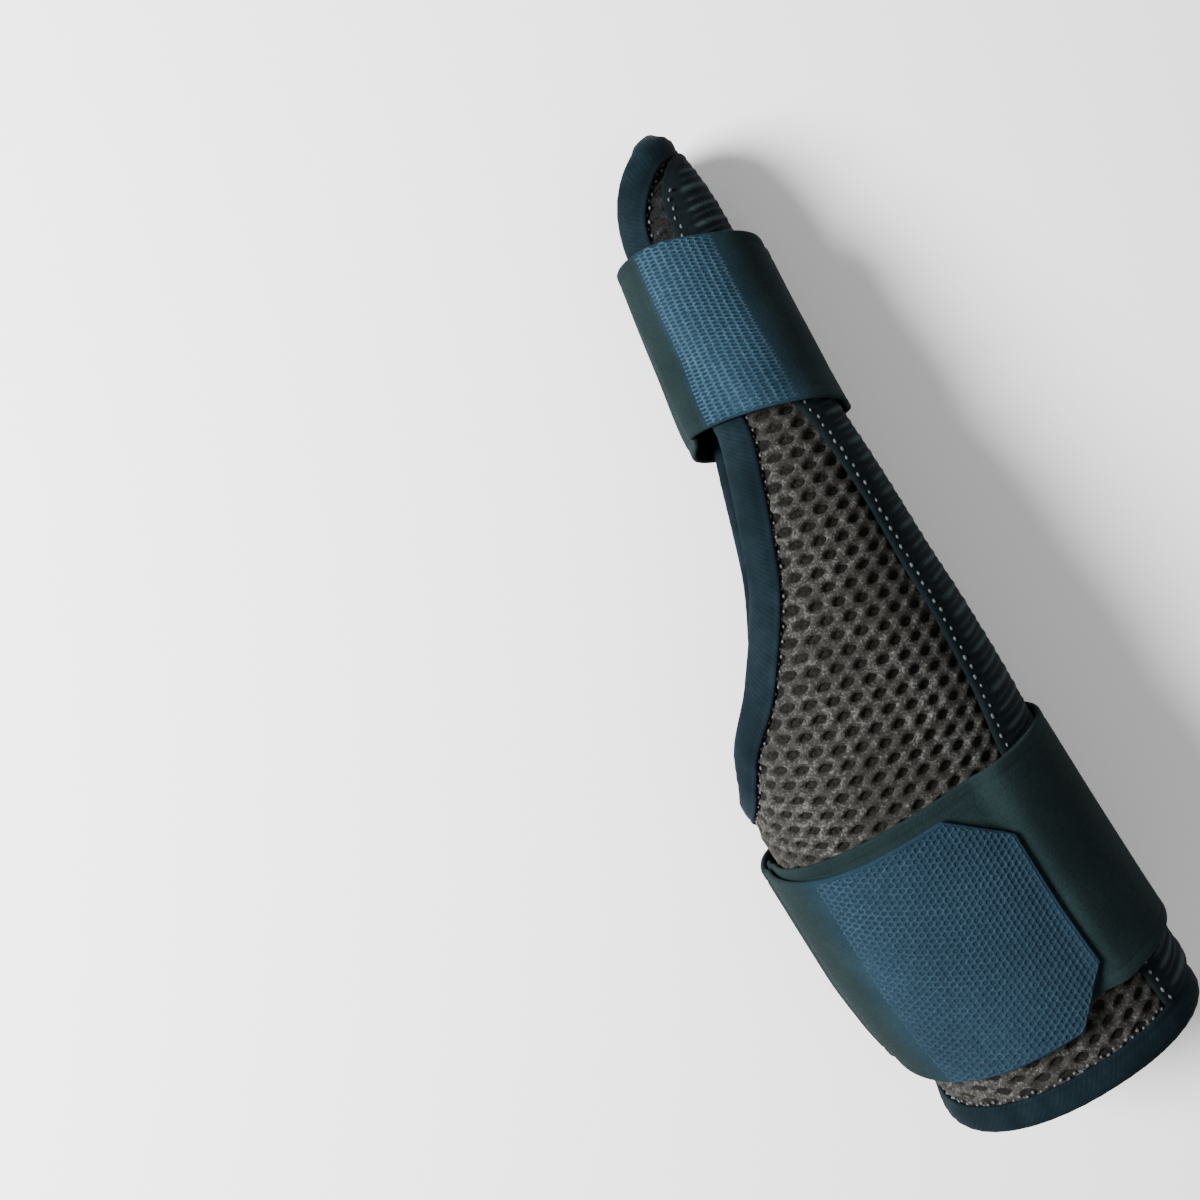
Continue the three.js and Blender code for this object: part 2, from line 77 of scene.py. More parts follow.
THUMB_REST = POCKET_OUTER + RIB_HEIGHT + STRAP_THICKNESS + STRAP_GAP + THUMB_CLEAR
EDGE_LIFT = (SHELL_THICKNESS - SHELL_EDGE_THICKNESS) / 2

SECTIONS = {
    "at": (0, 0.026, 0.053, 0.119, 0.179, 0.27, 0.305, 0.335, 0.37, 0.421, 0.477, 0.57, 0.653,
           0.705, 0.793, 0.877, 0.951, 0.984, 1),
    "to_thumb": (0, 0, 0, 0, 0, 0, 0, 0, 0, 0, 0.25, 0.5, 0.8, 1, 1, 1, 1, 1, 1),
    "width": (0.965, 0.944, 0.946, 0.983, 1, 1, 1, 1.008, 1.003, 0.985, 1.061, 0.974, 1.022,
              1.141, 1, 0.868, 0.746, 0.615, 0.44),
    "depth": (1, 1, 1, 1, 1, 1, 1, 1.008, 1.02, 1.01, 1.098, 1.108, 1.133, 1.2, 1.01, 0.914,
              0.838, 0.743, 0.61),
    "lean": (0.024, 0.011, 0.005, 0, 0, 0.003, 0.005, 0.012, 0.017, 0.022, 0.026, 0.033, 0.043,
             0.05, 0.067, 0.087, 0.107, 0.104, 0.065),
}
EDGES = {
    "at": (0, 0.34, 0.358, 0.372, 0.386, 0.405, 0.425, 0.477, 0.57, 0.653, 0.793, 0.9, 1),
    "palm": (0.565, 0.565, 0.55, 0.505, 0.464, 0.444, 0.424, 0.379, 0.35, 0.346, 0.36, 0.395, 0.4),
    "back": (0.385, 0.385, 0.38, 0.37, 0.36, 0.353, 0.348, 0.338, 0.33, 0.335, 0.345, 0.35, 0.35),
}

# %% [markdown]
# ## Smooth change along the splint
# A real splint has no sudden steps: it narrows from wrist to thumb over its whole length. The
# tables hold a few sections, given as shares of the widths and depths above, and a curve runs
# through their rows. A plain spline would bulge between two close rows, so this one keeps each
# stretch between its own two values.

# %% Curves through the tables
def mix(first, second, share):
    return first + (second - first) * share


def ramp(value, first, second):
    share = np.clip((value - first) / (second - first), 0, 1)
    return share * share * (3 - 2 * share)


def curve_through(places, values):
    """A smooth curve through the rows of a table that never swings past a row."""
    places, values = np.array(places, float), np.array(values, float)
    rise = np.diff(values) / np.diff(places)
    slope = np.zeros(len(values))
    for k in range(1, len(rise)):
        before, after = rise[k - 1], rise[k]
        if before * after > 0:
            slope[k] = 2 * before * after / (before + after)

    def value(place):
        place = min(max(place, places[0]), places[-1])
        k = min(int(np.searchsorted(places, place, side="right")) - 1, len(rise) - 1)
        span = places[k + 1] - places[k]
        t = (place - places[k]) / span
        hold = (1 + 2 * t) * (1 - t) ** 2
        push = t * (1 - t) ** 2 * span * slope[k]
        pull = t * t * (t - 1) * span * slope[k + 1]
        return hold * values[k] + (1 - hold) * values[k + 1] + push + pull

    return value


form = {name: curve_through(SECTIONS["at"], SECTIONS[name]) for name in SECTIONS if name != "at"}
edge = {name: curve_through(EDGES["at"], EDGES[name]) for name in EDGES if name != "at"}
print("wrist width mid strap:", round(WRIST_WIDTH * form["width"](0.19), 1), "mm")

# %% Sections of the hollow, and places on its layers
QUARTER_POINTS = 41
sections_made = {}


def section(along):
    """Points round one section from the stay line, with their normals and lengths round."""
    key = round(along, 3)
    if key in sections_made:
        return sections_made[key]
    at = along / LENGTH
    to_thumb = form["to_thumb"](at)
    half_width = mix(WRIST_WIDTH, THUMB_WIDTH, to_thumb) * form["width"](at) / 2
    half_depth = mix(WRIST_DEPTH, THUMB_DEPTH, to_thumb) * form["depth"](at) / 2
    centre_y = half_width - WRIST_WIDTH * (0.5 + form["lean"](at))
    centre_z = half_depth + mix(WRIST_REST, THUMB_REST, ramp(at, *THUMB_RISES))
    flat = REST_FLAT / 2 * min(1, half_width / (WRIST_WIDTH / 2))
    power = 2 / FULLNESS
    quarter = np.linspace(0, 90, QUARTER_POINTS)
    parts = []
    arcs = ((0, half_width, 0), (90, half_width, 0),
            (180, half_width - flat, flat), (270, half_width - flat, -flat))
    for start, arc_width, shift in arcs:
        across, up = np.cos(np.radians(quarter + start)), np.sin(np.radians(quarter + start))
        y = centre_y - arc_width * np.sign(across) * np.abs(across) ** power + shift
        z = centre_z + half_depth * np.sign(up) * np.abs(up) ** power
        out_y = -np.sign(across) * np.abs(across) ** (2 - power) / arc_width
        out_z = np.sign(up) * np.abs(up) ** (2 - power) / half_depth
        size = np.hypot(out_y, out_z)
        parts.append(np.array((y, z, out_y / size, out_z / size)))
    points = np.concatenate(parts, axis=1)
    steps = np.hypot(np.diff(points[0]), np.diff(points[1]))
    lengths = np.concatenate(([0], np.cumsum(steps)))
    sections_made[key] = (points, lengths)
    return sections_made[key]


def length_round(along):
    return section(along)[1][-1]


def out_of(along, distance):
    """The direction out of the form at a place."""
    points, lengths = section(along)
    at = distance % lengths[-1]
    out = np.array((0, np.interp(at, lengths, points[2]), np.interp(at, lengths, points[3])))
    return out / np.linalg.norm(out)


def place(along, distance, lift):
    points, lengths = section(along)
    at = distance % lengths[-1]
    here = np.array((along, np.interp(at, lengths, points[0]), np.interp(at, lengths, points[1])))
    return here + out_of(along, distance) * lift


print("length round the wrist:", round(length_round(40), 1), "mm")
print("length round the thumb:", round(length_round(180), 1), "mm")

# %% [markdown]
# ## The cut of the sheet
# The sheet is cut with a rounded tip for the thumb, small round corners at the cuff, and two long
# edges that leave the palm free. Every layer asks the same few functions where those edges lie, so
# the tape, the stitches and the pocket stay in step when one size is changed.

# %% Edges of the shell
def corner_cut(along):
    share = max(0, 1 - along / RIM_CORNER)
    return RIM_CORNER * (1 - math.sqrt(1 - share * share))


def shell_edge(along, side):
    """Distance round from the stay line to the shell's edge: side 1 is the palm, -1 the back."""
    along = min(max(along, 0), LENGTH)
    tip = max(0, (along - LENGTH + TIP_ROUND) / TIP_ROUND)
    reach = edge["palm" if side > 0 else "back"](along / LENGTH) * length_round(along)
    return side * (reach * math.sqrt(1 - tip * tip) - corner_cut(along))


def edge_depth(along, distance):
    return min(shell_edge(along, 1) - distance, distance - shell_edge(along, -1))


print("edges at mid length:", round(shell_edge(LENGTH / 2, -1)), "to", round(shell_edge(LENGTH / 2, 1)))

# %% The pocket's place, and what a strap has to clear
POCKET_LEANS_FROM, POCKET_LEANS_OVER = 0.3, 0.36
POCKET_STRAIGHTENS = (0.66, 0.84)
POCKET_OFF_BINDING = 1.5
TAPE_THICKNESS = 1
POCKET_SLOPE, BINDING_SLOPE = (4, 9), (4, 7)


def pocket_centre(along):
    at = along / LENGTH
    share = min(max((at - POCKET_LEANS_FROM) / POCKET_LEANS_OVER, 0), 1)
    return mix(POCKET_AT_CUFF, POCKET_AT_THUMB, share) * (1 - ramp(at, *POCKET_STRAIGHTENS))


def pocket_half_width(along):
    margin = BINDING_WIDTH + POCKET_OFF_BINDING
    if along > LENGTH - margin:
        return 0
    tip_from = LENGTH - TIP_ROUND
    tip = max(0, (along - tip_from) / (TIP_ROUND - margin))
    reach = edge_depth(min(along, tip_from), pocket_centre(along))
    return min(POCKET_WIDTH / 2, (reach - margin) * math.sqrt(max(0, 1 - tip * tip)))


def cover_lift(along, distance):
    """How far a strap's inner face lifts to clear the shell, the binding and the pocket."""
    past_pocket = abs(distance - pocket_centre(along)) - pocket_half_width(along)
    past_binding = edge_depth(along, distance) - BINDING_WIDTH
    pocket_rise = (POCKET_OUTER + RIB_HEIGHT - SHELL_THICKNESS) * (1 - ramp(past_pocket, *POCKET_SLOPE))
    binding_top = EDGE_LIFT + SHELL_EDGE_THICKNESS + SEAM_GAP + TAPE_THICKNESS
    binding_rise = (binding_top - SHELL_THICKNESS) * (1 - ramp(past_binding, *BINDING_SLOPE))
    return SHELL_THICKNESS + STRAP_GAP + max(pocket_rise, binding_rise)


print("pocket mid length:", round(2 * pocket_half_width(LENGTH / 2)), "mm wide")

# %% The outline, and how thin the sheet is near it
OUTLINE_STEP = 1.2
RIM_POINTS, CORNER_POINTS, EDGE_POINTS = 60, 40, 120
THIN_AS_FAR_AS, FULL_FROM = BINDING_WIDTH + 1, BINDING_WIDTH + 3.4


def outline_points(step):
    """The shell's outline as places along and round, evenly spaced: rim, palm edge, back edge."""
    coarse = [(0, d) for d in np.linspace(shell_edge(0, -1), shell_edge(0, 1), RIM_POINTS)]
    turns = np.linspace(0, math.pi / 2, CORNER_POINTS)
    alongs = [RIM_CORNER * (1 - math.cos(t)) for t in turns[:-1]]
    alongs += list(np.linspace(RIM_CORNER, LENGTH - TIP_ROUND, EDGE_POINTS)[:-1])
    alongs += [LENGTH - TIP_ROUND * (1 - math.sin(t)) for t in turns]
    coarse += [(a, shell_edge(a, 1)) for a in alongs[1:]]
    coarse += [(a, shell_edge(a, -1)) for a in reversed(alongs[1:-1])]
    coarse = np.array(coarse)
    closed = np.vstack((coarse, coarse[:1]))
    lengths = np.concatenate(([0], np.cumsum(np.linalg.norm(np.diff(closed, axis=0), axis=1))))
    count = int(lengths[-1] / step)
    at = np.linspace(0, lengths[-1], count, endpoint=False)
    return np.column_stack([np.interp(at, lengths, closed[:, k]) for k in (0, 1)])


outline = outline_points(OUTLINE_STEP)
outline_next = np.roll(outline, -1, axis=0) - outline


def outline_route(step):
    """Outline points with the way into the sheet at each."""
    route = outline_points(step)
    way = np.roll(route, -1, axis=0) - np.roll(route, 1, axis=0)
    way /= np.linalg.norm(way, axis=1)[:, None]
    return route, np.column_stack((way[:, 1], -way[:, 0]))


def outline_distance(along, distance):
    gone = np.array((along, distance)) - outline
    share = np.clip((gone * outline_next).sum(1) / (outline_next ** 2).sum(1), 0, 1)
    return np.linalg.norm(gone - outline_next * share[:, None], axis=1).min()


def shell_faces(along, distance):
    full = ramp(outline_distance(along, distance), THIN_AS_FAR_AS, FULL_FROM)
    half = mix(SHELL_EDGE_THICKNESS, SHELL_THICKNESS, full) / 2
    return SHELL_THICKNESS / 2 - half, SHELL_THICKNESS / 2 + half


print("outline:", len(outline), "points, about", round(len(outline) * OUTLINE_STEP), "mm round")

# %% [markdown]
# ## From places to meshes
# Two helpers cover most of the cloth. One makes a mesh from points in millimetres and keeps the
# place along and round as its UV map, so that a weave can follow the cloth. The other makes a
# cloth slab whose edges are rounded like a real cut edge, by letting its thickness fall to nothing
# along a quarter circle.

# %% Mesh helpers
def put(name, data):
    obj = bpy.data.objects.new(name, data)
    bpy.context.collection.objects.link(obj)
    return obj


def make_mesh(name, points, faces, places, material=None):
    """A smooth mesh object at the origin. Places give its UV map in centimetres."""
    mesh = bpy.data.meshes.new(name)
    moved = (np.array(points) + FRAME_SHIFT) * MM
    mesh.from_pydata(moved.tolist(), [], faces)
    mesh.validate()
    uv = mesh.uv_layers.new(name="cloth")
    corners = np.empty(len(mesh.loops), int)
    mesh.loops.foreach_get("vertex_index", corners)
    uv.data.foreach_set("uv", (np.array(places)[corners] / 10).astype(np.float32).ravel())
    mesh.shade_smooth()
    if material:
        mesh.materials.append(material)
    return put(name, mesh)


def rounded_lines(length, step, radius, round_start=True, round_end=True, more=()):
    """Shares across a cloth, closer together at its edges, and how full its thickness is there."""
    near = np.concatenate((np.array((0, 0.05, 0.2, 0.45, 0.75, 1)) * radius, more))
    inside = np.linspace(near[-1], length - near[-1], max(2, int(length / step)))[1:-1]
    at = np.concatenate((near, inside, length - near[::-1]))
    to_start = np.clip(at / radius, 0, 1) if round_start else np.ones(len(at))
    to_end = np.clip((length - at) / radius, 0, 1) if round_end else np.ones(len(at))
    fullness = np.sqrt(1 - (1 - np.minimum(to_start, to_end)) ** 2)
    return at / length, fullness


def cloth_slab(name, across, alongside, spot, material=None):
    """A closed cloth with rounded edges. spot(u, v) gives along, round, inner lift, outer lift."""
    (us, fullness_u), (vs, fullness_v) = across, alongside
    rows, columns = len(us), len(vs)
    top, low, places = [], [], []
    for u, full_u in zip(us, fullness_u):
        for v, full_v in zip(vs, fullness_v):
            along, distance, inner, outer = spot(u, v)
            middle, half = (inner + outer) / 2, (outer - inner) / 2 * full_u * full_v
            top.append(place(along, distance, middle + half))
            low.append(place(along, distance, middle - half))
            places.append((along, distance))
    number = np.arange(rows * columns).reshape(rows, columns)
    below = number + rows * columns
    thin = np.outer(fullness_u, fullness_v) < 1e-9
    below[thin] = number[thin]
    faces = []
    for i in range(rows - 1):
        for j in range(columns - 1):
            ring = (i, j), (i, j + 1), (i + 1, j + 1), (i + 1, j)
            faces.append([number[corner] for corner in ring])
            faces.append([below[corner] for corner in reversed(ring)])
    for line, low_line in edge_lines(number, below):
        for k in range(len(line) - 1):
            if line[k] != low_line[k] or line[k + 1] != low_line[k + 1]:
                ring = (line[k + 1], line[k], low_line[k], low_line[k + 1])
                faces.append(tuple(dict.fromkeys(ring)))
    obj = make_mesh(name, top + low, [[int(v) for v in f] for f in faces], places + places, material)
    tidy(obj)
    return obj


def edge_lines(number, below):
    yield number[0, :], below[0, :]
    yield number[:, -1], below[:, -1]
    yield number[-1, ::-1], below[-1, ::-1]
    yield number[::-1, 0], below[::-1, 0]


def tidy(obj):
    """Drops unused points and turns every face outwards."""
    made = bmesh.new()
    made.from_mesh(obj.data)
    loose = [v for v in made.verts if not v.link_faces]
    bmesh.ops.delete(made, geom=loose, context="VERTS")
    bmesh.ops.recalc_face_normals(made, faces=made.faces)
    made.to_mesh(obj.data)
    made.free()


def places_of(obj):
    """The place along and round of each point, read back from the UV map."""
    places = np.zeros((len(obj.data.vertices), 2))
    layer = obj.data.uv_layers["cloth"].data
    for loop in obj.data.loops:
        places[loop.vertex_index] = layer[loop.index].uv * 10
    return places


def name_values(obj, name, values):
    obj.data.attributes.new(name, "FLOAT", "POINT").data.foreach_set("value", values)


def report(obj):
    triangles = sum(len(p.vertices) - 2 for p in obj.data.polygons)
    print(obj.name, "has", triangles, "triangles")


# %% [markdown]
# ## Cloth finishes
# Cloth looks like cloth when its colour is uneven, its surface is rough and a little sheen lies on
# the raised threads. Each finish here mixes two or three noises into the colour and the bump, on
# the object's own coordinates or on the cloth's UV map, so that it stays put in every view.

# %% Shader helpers
def add_node(tree, kind, inputs=None, **settings):
    """Adds a node. Inputs are constants, or sockets to link."""
    node = tree.nodes.new(kind)
    for key, value in settings.items():
        setattr(node, key, value)
    for key, value in (inputs or {}).items():
        if isinstance(value, bpy.types.NodeSocket):
            tree.links.new(value, node.inputs[key])
        else:
            node.inputs[key].default_value = value
    return node


def noise(tree, where, scale, detail=4, roughness=0.6):
    node = add_node(tree, "ShaderNodeTexNoise",
                    {"Vector": where, "Scale": scale, "Detail": detail, "Roughness": roughness})
    return node.outputs["Fac"]


def colours(tree, value, stops):
    node = add_node(tree, "ShaderNodeValToRGB", {"Fac": value})
    ramp_made = node.color_ramp
    while len(ramp_made.elements) < len(stops):
        ramp_made.elements.new(1)
    for element, (position, colour) in zip(ramp_made.elements, stops):
        element.position = position
        element.color = (*colour, 1)
    return node.outputs["Color"]


def mix_colours(tree, share, first, second, blend_type="MIX"):
    node = add_node(tree, "ShaderNodeMixRGB", {"Fac": share, "Color1": first, "Color2": second},
                    blend_type=blend_type)
    return node.outputs["Color"]


def calc(tree, operation, first, second=0.0):
    return add_node(tree, "ShaderNodeMath", {0: first, 1: second}, operation=operation).outputs["Value"]


def blend(tree, shares):
    """Adds up sockets, each times its share."""
    total = None
    for value, share in shares:
        part = calc(tree, "MULTIPLY", value, share)
        total = calc(tree, "ADD", total, part) if total else part
    return total


def cloth_material(name, roughness, sheen, specular, sheen_tint=(1, 1, 1)):
    """A cloth shader with no colour or bump yet. Returns the material, its tree and shader."""
    material = bpy.data.materials.new(name)
    material.use_nodes = True
    tree = material.node_tree
    tree.nodes.clear()
    shader = add_node(tree, "ShaderNodeBsdfPrincipled", {
        "Roughness": roughness, "Sheen Weight": sheen, "Sheen Roughness": 0.4,
        "Sheen Tint": (*sheen_tint, 1), "Specular IOR Level": specular})
    output = add_node(tree, "ShaderNodeOutputMaterial")
    tree.links.new(shader.outputs["BSDF"], output.inputs["Surface"])
    return material, tree, shader


def finish_material(tree, shader, colour, height, strength, distance):
    bump = add_node(tree, "ShaderNodeBump",
                    {"Height": height, "Strength": strength, "Distance": distance})
    tree.links.new(colour, shader.inputs["Base Color"])
    tree.links.new(bump.outputs["Normal"], shader.inputs["Normal"])


def on_object(tree):
    return add_node(tree, "ShaderNodeTexCoord").outputs["Object"]


def on_cloth(tree):
    return add_node(tree, "ShaderNodeUVMap", uv_map="cloth").outputs["UV"]


def one_noise_material(name, surface, grain, stops, strength, distance):
    """A finish with one noise for its colour and its bump."""
    material, tree, shader = cloth_material(name, *surface)
    fuzz = noise(tree, on_object(tree), *grain)
    finish_material(tree, shader, colours(tree, fuzz, stops), fuzz, strength, distance)
    return material


# %% [markdown]
# ## Yarn and the dark between
# Knitted yarn is fuzzy, with lighter fibres and painted glints of highlight here and there, and the
# pile behind the holes is painted nearly black, as the shade that lies there because no light comes
# back out of it. Yarn needs three noises of different sizes: fine fibres, painted glints and wide
# worn patches. A flat colour with one noise would look like plastic.

# %% Yarn with painted glints, and the core behind the knitted holes, painted dark as shade
# Where the painted shade round the thumb tip starts and where it is full, in metres along.
SHADE_FROM, SHADE_TO = 0.06, 0.085


def yarn_material(name, dark, middle, light, sheen, thumb_shade=1.0):
    """Fuzzy yarn with painted glints. thumb_shade paints shade, darkening the sheet round the thumb tip.
    """
    material, tree, shader = cloth_material(name, 0.8, sheen, 0.08)
    where = on_object(tree)
    patches = noise(tree, where, 60, 3)
    fibres = noise(tree, where, 1900, 3, 0.7)
    # Painted glints: bright specks of highlight in the colour only, not in the bump.
    painted_glints = noise(tree, where, 620, 2, 0.5)
    value = blend(tree, ((fibres, 0.7), (painted_glints, 0.3), (calc(tree, "SUBTRACT", patches, 0.5), 0.25)))
    colour = colours(tree, value, ((0.31, dark), (0.52, middle), (0.76, light)))
    # Painted shade: the yarn turns darker and bluer towards the thumb tip.
    if thumb_shade < 1:
        along = add_node(tree, "ShaderNodeSeparateXYZ", {"Vector": where}).outputs["X"]
        past = add_node(tree, "ShaderNodeMapRange",
                        {"Value": along, "From Min": SHADE_FROM, "From Max": SHADE_TO})
        shade = mix_colours(tree, past.outputs["Result"], (1, 1, 1, 1),
                            (thumb_shade, thumb_shade * 1.15, thumb_shade * 1.35, 1))
        colour = mix_colours(tree, 1.0, colour, shade, "MULTIPLY")
    finish_material(tree, shader, colour, fibres, 0.6, 0.0003)
    return material


yarn = yarn_material("mesh_yarn", (0.0068, 0.0065, 0.0056), (0.0195, 0.0188, 0.0168),
                     (0.105, 0.106, 0.102), 0.02, thumb_shade=0.3)
inner_yarn = yarn_material("inner_yarn", (0.006, 0.006, 0.0052), (0.016, 0.0155, 0.014),
                           (0.05, 0.05, 0.047), 0.02, thumb_shade=0.45)
# The core's near-black colour is painted shade, for the depth of the knitted holes.
painted_shade_core = one_noise_material("mesh_core_painted_shade", (0.95, 0.05, 0.1), (1500, 3), (
    (0.35, (0.002, 0.002, 0.0018)), (0.7, (0.011, 0.0105, 0.0095))), 0.8, 0.0004)

# %% [markdown]
# ## Tape, pocket, straps and thread
# The tape is a fine twill, so faint slanted lines are mixed with noise. The pocket's colour follows
# an attribute that its tree writes: the ridges are painted lighter than the hollows, a painted
# highlight on the rib tops and painted shade between them. The straps are brushed loops, soft and
# matt, and the tab's cloth turns from teal to blue where its dots begin.

# %% Binding tape, pocket cloth, strap cloth, tab yarn and thread
def tape_material():
    material, tree, shader = cloth_material("binding_tape", 0.85, 0.01, 0.04, (0.7, 0.85, 1))
    where = on_object(tree)
    twill = add_node(tree, "ShaderNodeTexWave", {
        "Vector": on_cloth(tree), "Scale": 6.0, "Distortion": 0.6, "Detail": 1, "Detail Scale": 4},
        bands_direction="DIAGONAL")
    weave = calc(tree, "MULTIPLY", noise(tree, where, 2400, 2, 0.5), twill.outputs["Fac"])
    patches = noise(tree, where, 110, 4, 0.6)
    value = blend(tree, ((weave, 0.16), (patches, 0.84)))
    colour = colours(tree, value, ((0.25, (0.0015, 0.004, 0.0056)), (0.45, (0.0029, 0.0067, 0.0094)),
                                   (0.65, (0.0056, 0.0118, 0.016))))
    finish_material(tree, shader, colour, value, 0.35, 0.0003)
    return material


def pocket_material():
    material, tree, shader = cloth_material("pocket_cloth", 0.9, 0.01, 0.04, (0.8, 0.9, 1))
    where = on_object(tree)
    # Painted light: the ridge colours the rib tops lighter and the hollows darker.
    ridge = add_node(tree, "ShaderNodeAttribute", attribute_name="ridge").outputs["Fac"]
    fuzz = noise(tree, where, 1400, 3)
    patches = noise(tree, where, 90, 3)
    value = blend(tree, ((ridge, 0.5), (fuzz, 0.3), (patches, 0.28)))
    colour = colours(tree, value, ((0.2, (0.0022, 0.0038, 0.0046)), (0.42, (0.0048, 0.008, 0.0095)),
                                   (0.8, (0.028, 0.042, 0.044))))
    finish_material(tree, shader, colour, fuzz, 0.5, 0.0003)
    return material


def strap_material(name, across_lines):
    """Loop pile. Where the attribute named knit is 1, the cloth turns from teal to blue."""
    material, tree, shader = cloth_material(name, 0.9, 0.01, 0.04, (0.75, 0.9, 1))
    where = on_object(tree)
    pile = noise(tree, where, 1700, 4, 0.7)
    patches = noise(tree, where, 45, 4, 0.55)
    value = blend(tree, ((pile, 0.4), (patches, 0.6)))
    teal = colours(tree, value, ((0.3, (0.0037, 0.0074, 0.0076)), (0.5, (0.0063, 0.0126, 0.0134)),
                                 (0.7, (0.0112, 0.021, 0.022))))
    blue = colours(tree, value, ((0.3, (0.004, 0.0105, 0.0175)), (0.5, (0.007, 0.018, 0.029)),
                                 (0.7, (0.012, 0.0285, 0.0435))))
    dotted = add_node(tree, "ShaderNodeAttribute", attribute_name="knit").outputs["Fac"]
    threads = add_node(tree, "ShaderNodeTexWave", {"Vector": on_cloth(tree), "Scale": 3.2,
                       "Distortion": 1.5, "Detail": 2, "Detail Scale": 3}, bands_direction="X")
    height = calc(tree, "ADD", pile, calc(tree, "MULTIPLY", threads.outputs["Fac"], across_lines))
    finish_material(tree, shader, mix_colours(tree, dotted, teal, blue), height, 0.5, 0.0003)
    return material


def thread_material(name, dark, light):
    stops = (0.35, dark), (0.65, light)
    return one_noise_material(name, (0.55, 0.2, 0.45), (2600, 2), stops, 0.4, 0.0002)


tape = tape_material()
pocket_cloth = pocket_material()
strap_cloth = strap_material("strap_cloth", 0.12)
tab_cloth = strap_material("tab_cloth", 0.05)
wrist_yarn = yarn_material("wrist_tab_yarn", (0.0046, 0.0112, 0.0178),
                           (0.009, 0.0218, 0.0345), (0.018, 0.039, 0.058), 0.02)
thumb_yarn = yarn_material("thumb_tab_yarn", (0.007, 0.0185, 0.03),
                           (0.0155, 0.038, 0.058), (0.034, 0.07, 0.1), 0.02)
pale_thread = thread_material("pale_thread", (0.016, 0.023, 0.026), (0.05, 0.066, 0.072))
edge_thread = thread_material("edge_thread", (0.012, 0.013, 0.017), (0.055, 0.056, 0.066))
print("materials:", len(bpy.data.materials))

# %% [markdown]
# ## The knit, as a Geometry Nodes tree
# The mesh is knitted with staggered oval holes, about 3 mm by 2 mm. It could be painted with a
# texture, but the holes are deep and catch the light, so they are real here. A flat honeycomb of
# six-sided cells goes in. The tree shrinks each cell towards its middle, drops it a little, shrinks
# it again and opens it, and subdivision rounds what is left into strands. The same tree at a
# smaller size makes the dotted cloth of the two tabs.

# %% Node tree helpers
def new_tree(name, sizes, whole=()):
    """An empty tree with a geometry in and out, a material, and named sizes."""
    tree = bpy.data.node_groups.new(name, "GeometryNodeTree")
    tree.interface.new_socket("Geometry", in_out="INPUT", socket_type="NodeSocketGeometry")
    for size in sizes:
        tree.interface.new_socket(size, in_out="INPUT", socket_type="NodeSocketFloat")
    for count in whole:
        tree.interface.new_socket(count, in_out="INPUT", socket_type="NodeSocketInt")
    tree.interface.new_socket("Material", in_out="INPUT", socket_type="NodeSocketMaterial")
    tree.interface.new_socket("Geometry", in_out="OUTPUT", socket_type="NodeSocketGeometry")
    return tree, add_node(tree, "NodeGroupInput").outputs


def named(tree, name, data_type="FLOAT"):
    """A value that the points carry under a name."""
    node = add_node(tree, "GeometryNodeInputNamedAttribute", {"Name": name}, data_type=data_type)
    return node.outputs["Attribute"]


def scaled(tree, vector, size):
    node = add_node(tree, "ShaderNodeVectorMath", {0: vector, "Scale": size}, operation="SCALE")
    return node.outputs["Vector"]


def end_tree(tree, geometry, material):
    real = add_node(tree, "GeometryNodeRealizeInstances", {"Geometry": geometry})
    smooth = add_node(tree, "GeometryNodeSetShadeSmooth", {"Geometry": real.outputs["Geometry"]})
    painted = add_node(tree, "GeometryNodeSetMaterial",
                       {"Geometry": smooth.outputs["Geometry"], "Material": material})
    add_node(tree, "NodeGroupOutput", {"Geometry": painted.outputs["Geometry"]})


def run_tree(obj, tree, values):
    """Runs a tree on an object and keeps the result as a plain mesh."""
    modifier = obj.modifiers.new(tree.name, "NODES")
    modifier.node_group = tree
    for item in tree.interface.items_tree:
        if item.in_out == "INPUT" and item.name in values:
            modifier[item.identifier] = values[item.name]
    bpy.context.view_layer.update()
    graph = bpy.context.evaluated_depsgraph_get()
    made = bpy.data.meshes.new_from_object(obj.evaluated_get(graph))
    obj.modifiers.clear()
    made.name = obj.name
    obj.data = made
    report(obj)
    return obj


# %% The knit tree
def knit_tree():
    sizes = ("Strand Share", "Rim Share", "Rim Drop", "Hole Share", "Hole Drop")
    tree, given = new_tree("knit", sizes, ("Level",))

    def inset(geometry, selection, share, drop):
        inputs = {"Mesh": geometry, "Offset Scale": calc(tree, "MULTIPLY", drop, -1.0),
                  "Individual": True}
        if selection:
            inputs["Selection"] = selection
        pushed = add_node(tree, "GeometryNodeExtrudeMesh", inputs, mode="FACES")
        shrunk = add_node(tree, "GeometryNodeScaleElements",
                          {"Geometry": pushed.outputs["Mesh"], "Selection": pushed.outputs["Top"],
                           "Scale": share}, domain="FACE")
        return shrunk.outputs["Geometry"], pushed.outputs["Top"]

    strand, top = inset(given["Geometry"], None, given["Strand Share"], 0.0)
    rim, top = inset(strand, top, given["Rim Share"], given["Rim Drop"])
    hole, top = inset(rim, top, given["Hole Share"], given["Hole Drop"])
    opened = add_node(tree, "GeometryNodeDeleteGeometry", {"Geometry": hole, "Selection": top},
                      domain="FACE")
    round_strands = add_node(tree, "GeometryNodeSubdivisionSurface",
                             {"Mesh": opened.outputs["Geometry"], "Level": given["Level"]})
    end_tree(tree, round_strands.outputs["Mesh"], given["Material"])
    return tree


KNIT = knit_tree()


